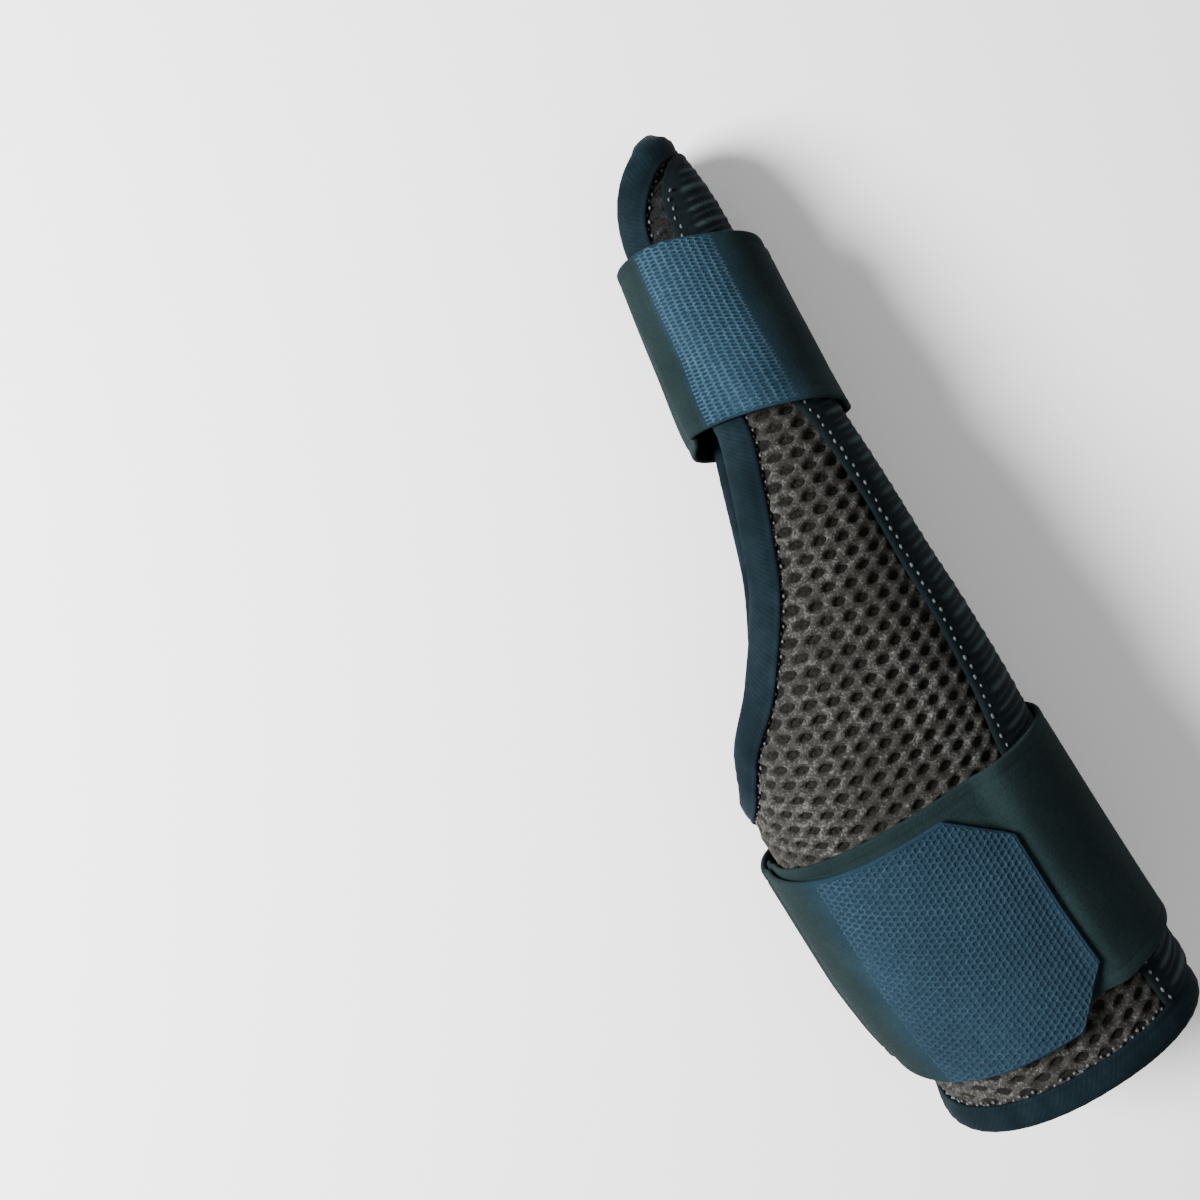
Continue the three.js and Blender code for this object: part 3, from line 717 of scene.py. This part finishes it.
def honeycomb(name, cell, area, keep, spot, jitter=0.0, turn_over=False, seed=4):
    """Six-sided cells over a cloth, in its own lengths x and y. spot(x, y) gives the place."""
    rng = random.Random(seed)
    numbers, points, places, faces = {}, [], [], []
    (x_from, x_to), (y_from, y_to) = area
    for column in range(int(y_from / cell["span"]) - 1, int(y_to / cell["span"]) + 2):
        for row in range(int(x_from / cell["pitch"]) - 1, int(x_to / cell["pitch"]) + 2):
            if not keep((row + column % 2 / 2) * cell["pitch"], column * cell["span"]):
                continue
            ring = []
            for step_x, step_y in ((0, 2), (1, 1), (1, -1), (0, -2), (-1, -1), (-1, 1)):
                key = (2 * row + column % 2 + step_x, 3 * column + step_y)
                if key not in numbers:
                    near = round(key[1] / 3)
                    y = (near + (key[1] - 3 * near) * cell["waist"]) * cell["span"]
                    x = key[0] * cell["pitch"] / 2
                    along, distance, lift = spot(x + rng.uniform(-jitter, jitter),
                                                 y + rng.uniform(-jitter, jitter))
                    numbers[key] = len(points)
                    points.append(place(along, distance, lift))
                    places.append((along, distance))
                ring.append(numbers[key])
            faces.append(ring if turn_over else ring[::-1])
    print(name, "starts from", len(faces), "cells")
    return make_mesh(name, points, faces, places)


def knit(cells, shares, drops, material):
    """Opens the cells. Shares go to strand, rim and hole, drops in millimetres to rim and hole."""
    strand, rim, hole = shares
    rim_drop, hole_drop = drops
    return run_tree(cells, KNIT, {
        "Strand Share": strand, "Rim Share": rim, "Rim Drop": rim_drop * MM, "Hole Share": hole,
        "Hole Drop": hole_drop * MM, "Level": 1, "Material": material})


# %% [markdown]
# ## The spacer mesh shell
# The real sheet is three layers: a holed face outside, a softer holed face inside, and a core of
# fine pile between them. It is built the same way. The core is one thin slab, painted near black as
# the shade deep in the holes, and a knit lies on each side of it. Cells that a strap or the pocket
# hides are left out outside.

# %% The core, painted dark as the shade in the holes
CORE_INNER, CORE_OUTER = 1.0, 1.9
CORE_INSIDE_EDGE = 0.2
TIP_BLUNT, CORE_TIP = 0.5, 20
CORE_TIP_FROM = 190
CORE_COLUMNS, CORE_CUFF_ROWS, CORE_ROWS, CORE_TIP_ROWS = 56, 7, 90, 12
core_end = LENGTH - TIP_BLUNT


def core_spot(u, v):
    along = u * core_end
    back, palm = shell_edge(along, -1) + CORE_INSIDE_EDGE, shell_edge(along, 1) - CORE_INSIDE_EDGE
    return along, mix(back, palm, v), CORE_INNER, CORE_OUTER


tip_rows = core_end - CORE_TIP * (1 - np.sin(np.linspace(0, math.pi / 2, CORE_TIP_ROWS)))
rows = np.unique(np.concatenate((np.linspace(0, RIM_CORNER, CORE_CUFF_ROWS),
                                 np.linspace(RIM_CORNER, CORE_TIP_FROM, CORE_ROWS), tip_rows)))
shell_core = cloth_slab("shell_core", (rows / core_end, np.ones(len(rows))),
                        (np.linspace(0, 1, CORE_COLUMNS), np.ones(CORE_COLUMNS)), core_spot, painted_shade_core)
report(shell_core)

# %% The outer and inner knit
MESH_CELL = {"pitch": 3.45, "span": 4.0, "waist": 0.1}
INNER_CELL = {"pitch": 3.8, "span": 4.4, "waist": 0.1}
WRIST_STRAP_SPAN = (16, 65)
THUMB_STRAP_SPAN = (148, 181)
KNIT_OFF_EDGE, KNIT_OFF_TIP = 3.2, 4
KNIT_UNDER_EDGES = 4.25
OUTER_KNIT_LIFT, INNER_KNIT_LIFT = 0.05, 0.15
OUTER_JITTER, INNER_JITTER = 0.16, 0.1
WIDEST_AT = 40


def inside_shows(along, distance):
    """True inside the line where the binding grips the sheet."""
    if not 0 < along < LENGTH - KNIT_OFF_TIP or edge_depth(along, distance) < 0:
        return False
    return outline_distance(along, distance) > KNIT_OFF_EDGE


def outside_shows(along, distance):
    """As inside, and not where the pocket or a strap hides the sheet."""
    if abs(distance - pocket_centre(along)) < pocket_half_width(along) - KNIT_UNDER_EDGES:
        return False
    for strap_from, strap_to in (WRIST_STRAP_SPAN, THUMB_STRAP_SPAN):
        if strap_from + KNIT_UNDER_EDGES < along < strap_to - KNIT_UNDER_EDGES:
            return False
    return inside_shows(along, distance)


sheet_area = ((0, LENGTH), (shell_edge(WIDEST_AT, -1), shell_edge(WIDEST_AT, 1)))
outer_cells = honeycomb("outer_knit", MESH_CELL, sheet_area, outside_shows,
                        lambda x, y: (x, y, shell_faces(x, y)[1] + OUTER_KNIT_LIFT), OUTER_JITTER)
outer_knit = knit(outer_cells, (0.9, 0.62, 0.9), (0.55, 0.6), yarn)
inner_cells = honeycomb("inner_knit", INNER_CELL, sheet_area, inside_shows,
                        lambda x, y: (x, y, shell_faces(x, y)[0] + INNER_KNIT_LIFT), INNER_JITTER,
                        turn_over=True)
inner_knit = knit(inner_cells, (0.75, 0.7, 0.9), (0.15, 0.8), inner_yarn)

# %% [markdown]
# ## The binding tape
# A tape is folded over the whole edge of the sheet and sewn through. Its section, a flattened U,
# is swept along the outline. Small puckers, where the seam pulls the tape in, come from a sine
# along the way.

# %% Sweep the tape round the outline
TAPE_HALF = ((4.6, 1), (4.75, 1.3), (4.55, 1.65), (4.05, 1.8), (3.65, 1.7), (3.25, 1.9), (2.2, 2.1),
             (1, 2.18), (0, 2.1), (-0.8, 1.7), (-1.2, 0.9), (-1.25, 0))
TAPE_INSIDE = ((2.2, -0.8), (0.1, -0.6), (0.1, 0.6), (2.2, 0.8))
TAPE_MIDDLE = SHELL_THICKNESS / 2
TIP_TAPE_EXTRA = 1.7
TIP_TAPE_FROM, TIP_TAPE_TO = LENGTH - 16, LENGTH - 4
TIP_TAPE_SIDES = (5, 14)
TAPE_STEP = 1.6
PUCKER_PITCH, PUCKER_DEPTH = 3.4, 0.035


def tape_width(along, distance):
    """The tape covers more of the rounded tip."""
    at_tip = ramp(along, TIP_TAPE_FROM, TIP_TAPE_TO) * (1 - ramp(abs(distance), *TIP_TAPE_SIDES))
    return BINDING_WIDTH + TIP_TAPE_EXTRA * at_tip


def binding():
    route, inward = outline_route(TAPE_STEP)
    points, places, faces = [], [], []
    profile = TAPE_HALF + tuple((depth, -rise) for depth, rise in TAPE_HALF[-2::-1]) + TAPE_INSIDE
    size = len(profile)
    for i, (at, way) in enumerate(zip(route, inward)):
        pucker = 1 + PUCKER_DEPTH * math.sin(math.tau * i * TAPE_STEP / PUCKER_PITCH)
        wider = tape_width(*at) / BINDING_WIDTH
        for depth, rise in profile:
            spot = at + way * depth * (wider if depth > 0 else 1)
            points.append(place(spot[0], spot[1], TAPE_MIDDLE + rise * pucker))
            places.append((i * TAPE_STEP, depth + rise))
        for j in range(size):
            a, b = i * size + j, i * size + (j + 1) % size
            shift = ((i + 1) % len(route) - i) * size
            faces.append((a, b, b + shift, a + shift))
    obj = make_mesh("binding", points, faces, places, tape)
    tidy(obj)
    return obj


binding_piece = binding()
report(binding_piece)

# %% [markdown]
# ## Stitches, as a Geometry Nodes tree
# A stitch is a short bead of thread, repeated along a line. The tree takes a line of points,
# walks along it at an even pitch, steps a little to each side in turn, and sets down a bead that
# lies along the line and stands on the cloth. The direction out of the cloth travels with the
# points as an attribute.

# %% The stitch tree
def stitch_tree():
    tree, given = new_tree("stitches", ("Pitch", "Length", "Width", "Height", "Zigzag"), ("Seed",))
    line = add_node(tree, "GeometryNodeMeshToCurve", {"Mesh": given["Geometry"]})
    even = add_node(tree, "GeometryNodeResampleCurve",
                    {"Curve": line.outputs["Curve"], "Length": given["Pitch"]}, mode="LENGTH")
    out = named(tree, "out", "FLOAT_VECTOR")
    tangent = add_node(tree, "GeometryNodeInputTangent").outputs["Tangent"]
    side = add_node(tree, "ShaderNodeVectorMath", {0: out, 1: tangent}, operation="CROSS_PRODUCT")
    index = add_node(tree, "GeometryNodeInputIndex").outputs["Index"]
    parity = calc(tree, "SUBTRACT", calc(tree, "MODULO", index, 2.0), 0.5)
    step = scaled(tree, side.outputs["Vector"], calc(tree, "MULTIPLY", parity, given["Zigzag"]))
    moved = add_node(tree, "GeometryNodeSetPosition",
                     {"Geometry": even.outputs["Curve"], "Offset": step})
    upright = add_node(tree, "FunctionNodeAlignRotationToVector", {"Vector": out}, axis="Z")
    turned = add_node(tree, "FunctionNodeAlignRotationToVector",
                      {"Rotation": upright.outputs["Rotation"], "Vector": tangent},
                      axis="X", pivot_axis="Z")
    bead = add_node(tree, "GeometryNodeMeshUVSphere", {"Segments": 8, "Rings": 5, "Radius": 0.5})
    size = add_node(tree, "ShaderNodeCombineXYZ",
                    {"X": given["Length"], "Y": given["Width"], "Z": given["Height"]})
    bead = add_node(tree, "GeometryNodeTransform",
                    {"Geometry": bead.outputs["Mesh"], "Scale": size.outputs["Vector"]})
    uneven = add_node(tree, "FunctionNodeRandomValue", {"Seed": given["Seed"]}, data_type="FLOAT")
    uneven.inputs[2].default_value, uneven.inputs[3].default_value = 0.8, 1.15
    beads = add_node(tree, "GeometryNodeInstanceOnPoints", {
        "Points": moved.outputs["Geometry"], "Instance": bead.outputs["Geometry"],
        "Rotation": turned.outputs["Rotation"], "Scale": uneven.outputs[1]})
    end_tree(tree, beads.outputs["Instances"], given["Material"])
    return tree


STITCHES = stitch_tree()


def stitch_row(name, spots, sizes, seed, material, closed=False):
    """Stitches along spots, each a place along, round and lift. Sizes are in millimetres."""
    points = [(place(*spot) + FRAME_SHIFT) * MM for spot in spots]
    links = [(k, k + 1) for k in range(len(spots) - 1)]
    if closed:
        links.append((len(spots) - 1, 0))
    mesh = bpy.data.meshes.new(name)
    mesh.from_pydata(points, links, [])
    out = mesh.attributes.new("out", "FLOAT_VECTOR", "POINT")
    out.data.foreach_set("vector", np.array([out_of(s[0], s[1]) for s in spots]).ravel())
    values = {key: size * MM for key, size in sizes.items()}
    return run_tree(put(name, mesh), STITCHES, {**values, "Seed": seed, "Material": material})


# %% [markdown]
# ## The seam beside the tape
# The tape is held by a row of small zigzag stitches that sink into the mesh just inside it. A
# painted line would vanish in a side view, so every stitch is a bead of thread, set down by the
# tree along the same outline as the tape.

# %% Stitches along the binding
SEAM_STEP, SEAM_FROM_TAPE, SEAM_LIFT = 2.0, 0.35, 0.1
EDGE_STITCH = {"Pitch": 1.5, "Length": 0.8, "Width": 0.6, "Height": 0.5, "Zigzag": 0.5}


def binding_seam():
    route, inward = outline_route(SEAM_STEP)
    widths = np.array([tape_width(a, r) for a, r in route])
    spots = route + inward * (widths + SEAM_FROM_TAPE)[:, None]
    return [(a, r, shell_faces(a, r)[1] + SEAM_LIFT) for a, r in spots]


binding_stitches = stitch_row("binding_stitches", binding_seam(), EDGE_STITCH, 3, edge_thread,
                              closed=True)

# %% [markdown]
# ## The ribbed stay pocket
# The pocket is elastic cloth, gathered into ribs about 4 mm apart by the threads that run across
# it. The slab is smooth to start with. A tree then lifts its outer face into ribs, from an
# attribute that says how freely the cloth can rise there: not at all at the sewn edges.

# %% The rib tree
def rib_tree():
    tree, given = new_tree("ribs", ("Pitch", "Height", "Sharpness", "Minor Share"))
    turns = calc(tree, "DIVIDE", named(tree, "along"), given["Pitch"])
    wave = calc(tree, "COSINE", calc(tree, "MULTIPLY", turns, math.tau))
    share = calc(tree, "ADD", calc(tree, "MULTIPLY", wave, 0.5), 0.5)
    between = calc(tree, "SUBTRACT", 1.0, share)
    sharper = calc(tree, "MULTIPLY", given["Sharpness"], 2.0)
    minor = calc(tree, "MULTIPLY", calc(tree, "POWER", between, sharper), given["Minor Share"])
    ridge = calc(tree, "MAXIMUM", calc(tree, "POWER", share, given["Sharpness"]), minor)
    ridge = calc(tree, "MULTIPLY", ridge, named(tree, "free"))
    normal = add_node(tree, "GeometryNodeInputNormal").outputs["Normal"]
    lift = scaled(tree, normal, calc(tree, "MULTIPLY", ridge, given["Height"]))
    # The ridge is also kept for the pocket's colour, which paints highlight on the rib tops.
    kept = add_node(tree, "GeometryNodeStoreNamedAttribute",
                    {"Geometry": given["Geometry"], "Name": "ridge", "Value": ridge},
                    data_type="FLOAT", domain="POINT")
    raised = add_node(tree, "GeometryNodeSetPosition",
                      {"Geometry": kept.outputs["Geometry"], "Offset": lift})
    end_tree(tree, raised.outputs["Geometry"], given["Material"])
    return tree


RIBS = rib_tree()

# %% The pocket
POCKET_FROM, POCKET_TO = 5.5, LENGTH - 7
POCKET_THINS_FROM, POCKET_TIP_THINS = LENGTH - 24, 1.2
POCKET_STEP, POCKET_ACROSS_STEP, POCKET_EDGE = 0.4, 1.3, 0.8
POCKET_OFF_SHELL, RIB_ROOM = 0.1, 0.15
SEWN_DOWN, HELD_FLAT = 0.5, 0.4
RIB_RISE, RIB_SHARPNESS, RIB_MINOR_SHARE = 0.2, 5.0, 0.6
RIB_SLANT, RIB_SLANT_FROM = 0.02, 5
RIB_WANDER = ((0.3, 0.37, 0), (0.21, 0.91, 0.2))
RIBS_RISE = (POCKET_SELVEDGE - 0.8, POCKET_SELVEDGE + 1.2)
OUTER_FACE = 0.3


def pocket_spot(u, v):
    along = mix(POCKET_FROM, POCKET_TO, u)
    distance = pocket_centre(along) + (2 * v - 1) * pocket_half_width(along)
    inset = (0.5 - abs(v - 0.5)) * 2 * pocket_half_width(along)
    sewn = SEWN_DOWN * (1 - ramp(inset, HELD_FLAT, POCKET_SELVEDGE))
    thinner = POCKET_TIP_THINS * ramp(along, POCKET_THINS_FROM, POCKET_TO)
    outer = POCKET_OUTER - RIB_ROOM - sewn - thinner
    return along, distance, SHELL_THICKNESS + POCKET_OFF_SHELL, outer


pocket = cloth_slab("pocket", rounded_lines(POCKET_TO - POCKET_FROM, POCKET_STEP, POCKET_EDGE),
                    rounded_lines(POCKET_WIDTH, POCKET_ACROSS_STEP, POCKET_EDGE), pocket_spot)


def name_rib_room(obj):
    """Writes how far along each point is, bent a little, and how free the cloth is to rise."""
    alongs, frees = [], []
    for vertex, (along, distance) in zip(obj.data.vertices, places_of(obj)):
        inset = pocket_half_width(along) - abs(distance - pocket_centre(along))
        outwards = vertex.normal.dot(Vector(out_of(along, distance)))
        wander = sum(size * math.sin(along * rate + distance * twist) for size, rate, twist in RIB_WANDER)
        alongs.append((along + wander + RIB_SLANT * (distance - RIB_SLANT_FROM)) * MM)
        frees.append(ramp(inset, *RIBS_RISE) * (outwards > OUTER_FACE))
    name_values(obj, "along", alongs)
    name_values(obj, "free", frees)


name_rib_room(pocket)
pocket = run_tree(pocket, RIBS, {
    "Pitch": RIB_PITCH * MM, "Height": RIB_RISE * MM, "Sharpness": RIB_SHARPNESS,
    "Minor Share": RIB_MINOR_SHARE, "Material": pocket_cloth})

# %% [markdown]
# ## The pocket's two seams
# The pocket is sewn down both long sides with a light thread. It is the stitch tree again, with
# longer steps, along two lines that follow the pocket as it narrows towards the thumb.

# %% Stitches down both sides of the pocket
POCKET_STITCH = {**EDGE_STITCH, "Pitch": 2.1, "Length": 0.95}
SEAM_FROM, SEAM_TO, SEAM_POINTS = POCKET_FROM + 1, POCKET_TO - 8, 90
SEAM_INSET, SEAM_SINK = 1.1, 0.5


def pocket_seam(side):
    spots = []
    for along in np.linspace(SEAM_FROM, SEAM_TO, SEAM_POINTS):
        distance = pocket_centre(along) + side * (pocket_half_width(along) - SEAM_INSET)
        spots.append((along, distance, POCKET_OUTER - SEAM_SINK))
    return spots


pocket_stitches = [stitch_row(name, pocket_seam(side), POCKET_STITCH, seed, pale_thread)
                   for name, side, seed in (("pocket_stitches_palm", 1, 5),
                                            ("pocket_stitches_back", -1, 6))]

# %% [markdown]
# ## The straps
# Each strap is one band of soft loop cloth that starts under the splint, goes once round it and
# lands on itself, where its dotted tab grips the loops. The slab follows the same turns as the
# solids, with rounded edges, and dips gently between what it crosses.

# %% Where the straps run
WRIST_STRAP_WIDTH, WRIST_STRAP_DRIFT = 49, 3.4
WRIST_DRIFTS = (-0.45, -0.675)
WRIST_CENTRE = 16 + WRIST_STRAP_WIDTH / 2
WRIST_TURNS = {"start": 0.52, "tab": -0.575, "end": -0.817, "rise": (-0.395, -0.45)}
THUMB_STRAP_WIDTH = 40
THUMB_CENTRE = LENGTH - 48
THUMB_TURNS = {"start": -0.11, "tab": -0.61, "end": -1.17, "rise": (-0.97, -1.04)}
THUMB_SLANT, THUMB_SLANT_TURN = 6.5, 152
THUMB_OPENS = (4, 11)
THUMB_FLARE, THUMB_FLARES_PAST = 2.2, 0.3
OVERLAP_RISE = STRAP_THICKNESS + SEAM_GAP


def wrapped(along, turn):
    whole = length_round(along)
    distance = turn * whole
    return distance - round(distance / whole) * whole


def falling(value, first, second):
    return 1 - ramp(value, second, first)


def wrist_spot(turn, row):
    drift = WRIST_STRAP_DRIFT * falling(turn, *WRIST_DRIFTS)
    along = WRIST_CENTRE - drift + (row - 0.5) * WRIST_STRAP_WIDTH
    distance = wrapped(along, turn)
    inner = cover_lift(along, distance) + OVERLAP_RISE * falling(turn, *WRIST_TURNS["rise"])
    return along, turn * length_round(along), inner, inner + STRAP_THICKNESS


def thumb_centre(turn):
    """The thumb strap is wound at a slant, so its middle swings along the thumb."""
    return THUMB_CENTRE + THUMB_SLANT * math.cos(math.radians(turn * 360 - THUMB_SLANT_TURN))


def thumb_spot(turn, row):
    along = thumb_centre(turn) + (row - 0.5) * THUMB_STRAP_WIDTH
    distance = wrapped(along, turn)
    opened = ramp(-edge_depth(along, distance), *THUMB_OPENS)
    flare = THUMB_FLARE * row * ramp(math.cos(turn * math.tau), THUMB_FLARES_PAST, 1)
    level = OVERLAP_RISE * falling(turn, *THUMB_TURNS["rise"])
    inner = mix(cover_lift(along, distance), 1, opened) + flare + level
    return along, turn * length_round(along), inner, inner + STRAP_THICKNESS


def chamfer_cut(row, width, chamfer):
    return max(0, chamfer - min(row, 1 - row) * width)


HEM_WIDTH, HEM_DEPTH = 2.6, 0.16
STRAP_EDGE, GROOVE_HALF = 0.55, 0.35
HEM_LINES = (1.8, 2.2, HEM_WIDTH, 3.0, 3.4)
STRAP_STEP, STRAP_ACROSS_STEP = 1.1, 1.8
BAND, TAB = ("start", "tab"), ("tab", "end")
WRIST = {**WRIST_TURNS, "spot": wrist_spot, "width": WRIST_STRAP_WIDTH, "middle": WRIST_CENTRE,
         "chamfer": 9.5}
THUMB = {**THUMB_TURNS, "spot": thumb_spot, "width": THUMB_STRAP_WIDTH, "middle": THUMB_CENTRE,
         "chamfer": 5}


def hem_groove(row, width):
    """How deep the sewn line of the hem sinks, at a share of the strap's width."""
    from_edge = min(row, 1 - row) * width
    return HEM_DEPTH * math.exp(-((from_edge - HEM_WIDTH) / GROOVE_HALF) ** 2)


def band(name, strap, ends, material):
    """Part of a strap between two of its turns. A tab is rounded and chamfered where it ends."""
    whole, width = length_round(strap["middle"]), strap["width"]
    first, last = strap[ends[0]], strap[ends[1]]
    is_tab = ends == TAB

    def along_band(u, row):
        end = last + (chamfer_cut(row, width, strap["chamfer"]) / whole if is_tab else 0)
        along, distance, inner, outer = strap["spot"](mix(first, end, u), row)
        return along, distance, inner, outer - hem_groove(row, width)

    lengthwise = rounded_lines((first - last) * whole, STRAP_STEP, STRAP_EDGE, not is_tab, is_tab)
    crosswise = rounded_lines(width, STRAP_ACROSS_STEP, STRAP_EDGE, more=HEM_LINES)
    obj = cloth_slab(name, lengthwise, crosswise, along_band, material)
    report(obj)
    return obj


# %% [markdown]
# ## Two bands from one function
# A strap and its tab are one length of cloth, cut in two where the cloth changes. The joint is
# left unrounded so that no gap shows, and the free end has its corners cut off, which keeps a hook
# tab from curling up. A groove near both long edges stands for the folded hem.

# %% The wrist strap and its tab
wrist_strap = band("wrist_band", WRIST, BAND, strap_cloth)
wrist_tab = band("wrist_tab", WRIST, TAB, tab_cloth)

# %% The thumb strap and its tab
thumb_strap = band("thumb_band", THUMB, BAND, strap_cloth)
thumb_tab = band("thumb_tab", THUMB, TAB, tab_cloth)

# %% [markdown]
# ## The dotted cloth of the tabs
# The tabs are covered with a fine honeycomb of raised thread round dark dots, under 2 mm apart.
# It is the knit tree again at a smaller size, standing a fraction of a millimetre above the tab.

# %% Dotted cloth
WRIST_CELL = {"pitch": 1.25, "span": 1.1, "waist": 0.33}
THUMB_CELL = {"pitch": 0.86, "span": 1.05, "waist": 0.25}
DOT_MARGIN, DOT_OVERHANG, DOT_JITTER = 0.6, 0.3, 0.04
DOTS_STAND, DOTS_SINK = 0.2, 0.55


def dots_on(name, cell, strap, shown, material):
    """A honeycomb over a tab, in lengths across it and from its start. shown(turn) is 1 where the
    dots stand out and 0 where they have sunk into the smooth cloth."""
    whole, width = length_round(strap["middle"]), strap["width"]
    first, last = strap["tab"], strap["end"]
    length = (first - last) * whole

    def cut_at(x):
        return chamfer_cut(x / width, width, strap["chamfer"])

    def far(x):
        return length - cut_at(x) - DOT_MARGIN

    def keep(x, y):
        return 0 < x < width and 0 < y < far(x) + DOT_OVERHANG and shown(first - y / whole) > 0

    def knitted(x, y):
        x = min(max(x, DOT_MARGIN), width - DOT_MARGIN)
        y = min(max(y, DOT_MARGIN), far(x))
        turn = mix(first, last + cut_at(x) / whole, y / (far(x) + DOT_MARGIN))
        along, distance, _, outer = strap["spot"](turn, x / width)
        stand = DOTS_STAND - DOTS_SINK * (1 - shown(turn))
        return along, distance, outer - hem_groove(x / width, width) + stand

    cells = honeycomb(name, cell, ((0, width), (0, length)), keep, knitted, DOT_JITTER, turn_over=True)
    return knit(cells, (0.86, 0.76, 0.8), (0.12, 0.2), material)


def name_knit(obj, shown):
    """Writes where the dots stand, so that the cloth below takes their colour."""
    turns = [distance / length_round(along) for along, distance in places_of(obj)]
    name_values(obj, "knit", [shown(turn) for turn in turns])


WRIST_DOTS_RISE = (-0.565, -0.63)
THUMB_DOTS_RISE, THUMB_DOTS_SINK = (-0.63, -0.66), (-0.78, -0.87)


def wrist_shown(turn):
    return falling(turn, *WRIST_DOTS_RISE)


def thumb_shown(turn):
    return falling(turn, *THUMB_DOTS_RISE) * (1 - falling(turn, *THUMB_DOTS_SINK))


wrist_dots = dots_on("wrist_tab_dots", WRIST_CELL, WRIST, wrist_shown, wrist_yarn)
thumb_dots = dots_on("thumb_tab_dots", THUMB_CELL, THUMB, thumb_shown, thumb_yarn)
name_knit(wrist_tab, wrist_shown)
name_knit(thumb_tab, thumb_shown)

# %% [markdown]
# ## Joining the pieces to the frame
# Every piece rides on the one body, and the plain solid it stands for is hidden.

# %% Ride and replace
DRESSED = {
    "mesh_shell": ("spacer_mesh", shell_core, outer_knit, inner_knit),
    "edge_binding": ("binding_tape", binding_piece, binding_stitches),
    "stay_pocket": ("ribbed_cloth", pocket, *pocket_stitches),
    "wrist_strap": ("loop_webbing", wrist_strap),
    "wrist_strap_tab": ("wrist_tab_cloth", wrist_tab, wrist_dots),
    "thumb_strap": ("loop_webbing", thumb_strap),
    "thumb_strap_tab": ("thumb_tab_cloth", thumb_tab, thumb_dots),
}
for node, (slot, *pieces) in DRESSED.items():
    for piece in pieces:
        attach(piece, "root")
        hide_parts(node)

# %% [markdown]
# ## What the sheet was cut to
# The cut is the outline laid flat, so its area is the sum of the widths between the two edges. Here
# the widths are taken at even places along it.

CUT_PLACES, CUT_OFF_ENDS = 213, 0.5
cut_places = np.linspace(CUT_OFF_ENDS, LENGTH - CUT_OFF_ENDS, CUT_PLACES)
cut_widths = [shell_edge(a, 1) - shell_edge(a, -1) for a in cut_places]

# %% [markdown]
# ## Floor, light and camera
# The splint lies palm side up on a pale floor. The photograph looks straight down at it, with soft
# light from the open side, so a wide lamp stands there and a weak one fills the rest.

# %% Floor
FLOOR = 3.0
floor_mesh = bpy.data.meshes.new("floor")
floor_mesh.from_pydata([(-FLOOR, -FLOOR, 0), (FLOOR, -FLOOR, 0), (FLOOR, FLOOR, 0), (-FLOOR, FLOOR, 0)],
                       [], [(0, 1, 2, 3)])
floor = put("floor", floor_mesh)
floor_material, _, floor_shader = cloth_material("floor", 0.9, 0.0, 0.1)
floor_shader.inputs["Base Color"].default_value = (0.97, 0.97, 0.97, 1)
floor_mesh.materials.append(floor_material)

# %% Camera, at the photograph's angle
CAMERA_PLACE = np.array((132.5, 31.5, 296.5))
CAMERA_TURN = 237.5
CAMERA_ANGLE = 50.8
camera_data = bpy.data.cameras.new("camera")
camera_data.angle = math.radians(CAMERA_ANGLE)
camera = put("camera", camera_data)
camera.location = (CAMERA_PLACE + FRAME_SHIFT) * MM
camera.rotation_euler = (0, 0, math.radians(CAMERA_TURN))
bpy.context.scene.camera = camera
print("camera", CAMERA_PLACE[2], "mm above the floor, turned", CAMERA_TURN, "degrees")

# %% Lights
AIM = Vector((0, 0, 0.02))
WORLD_STRENGTH = 0.35


def lamp(name, spot, size, power):
    data = bpy.data.lights.new(name, "AREA")
    data.shape = "DISK"
    data.size = size
    data.energy = power
    obj = put(name, data)
    obj.location = spot
    obj.rotation_euler = (AIM - Vector(spot)).to_track_quat("-Z", "Y").to_euler()
    print(name, "lamp,", power, "watts")


lamp("key", (0.3, 0.6, 0.5), 0.35, 30)
lamp("fill", (-0.2, -0.1, 0.8), 0.6, 1.5)
world = bpy.data.worlds.new("world")
bpy.context.scene.world = world
world.use_nodes = True
background = world.node_tree.nodes["Background"].inputs
background["Color"].default_value = (1, 1, 1, 1)
background["Strength"].default_value = WORLD_STRENGTH
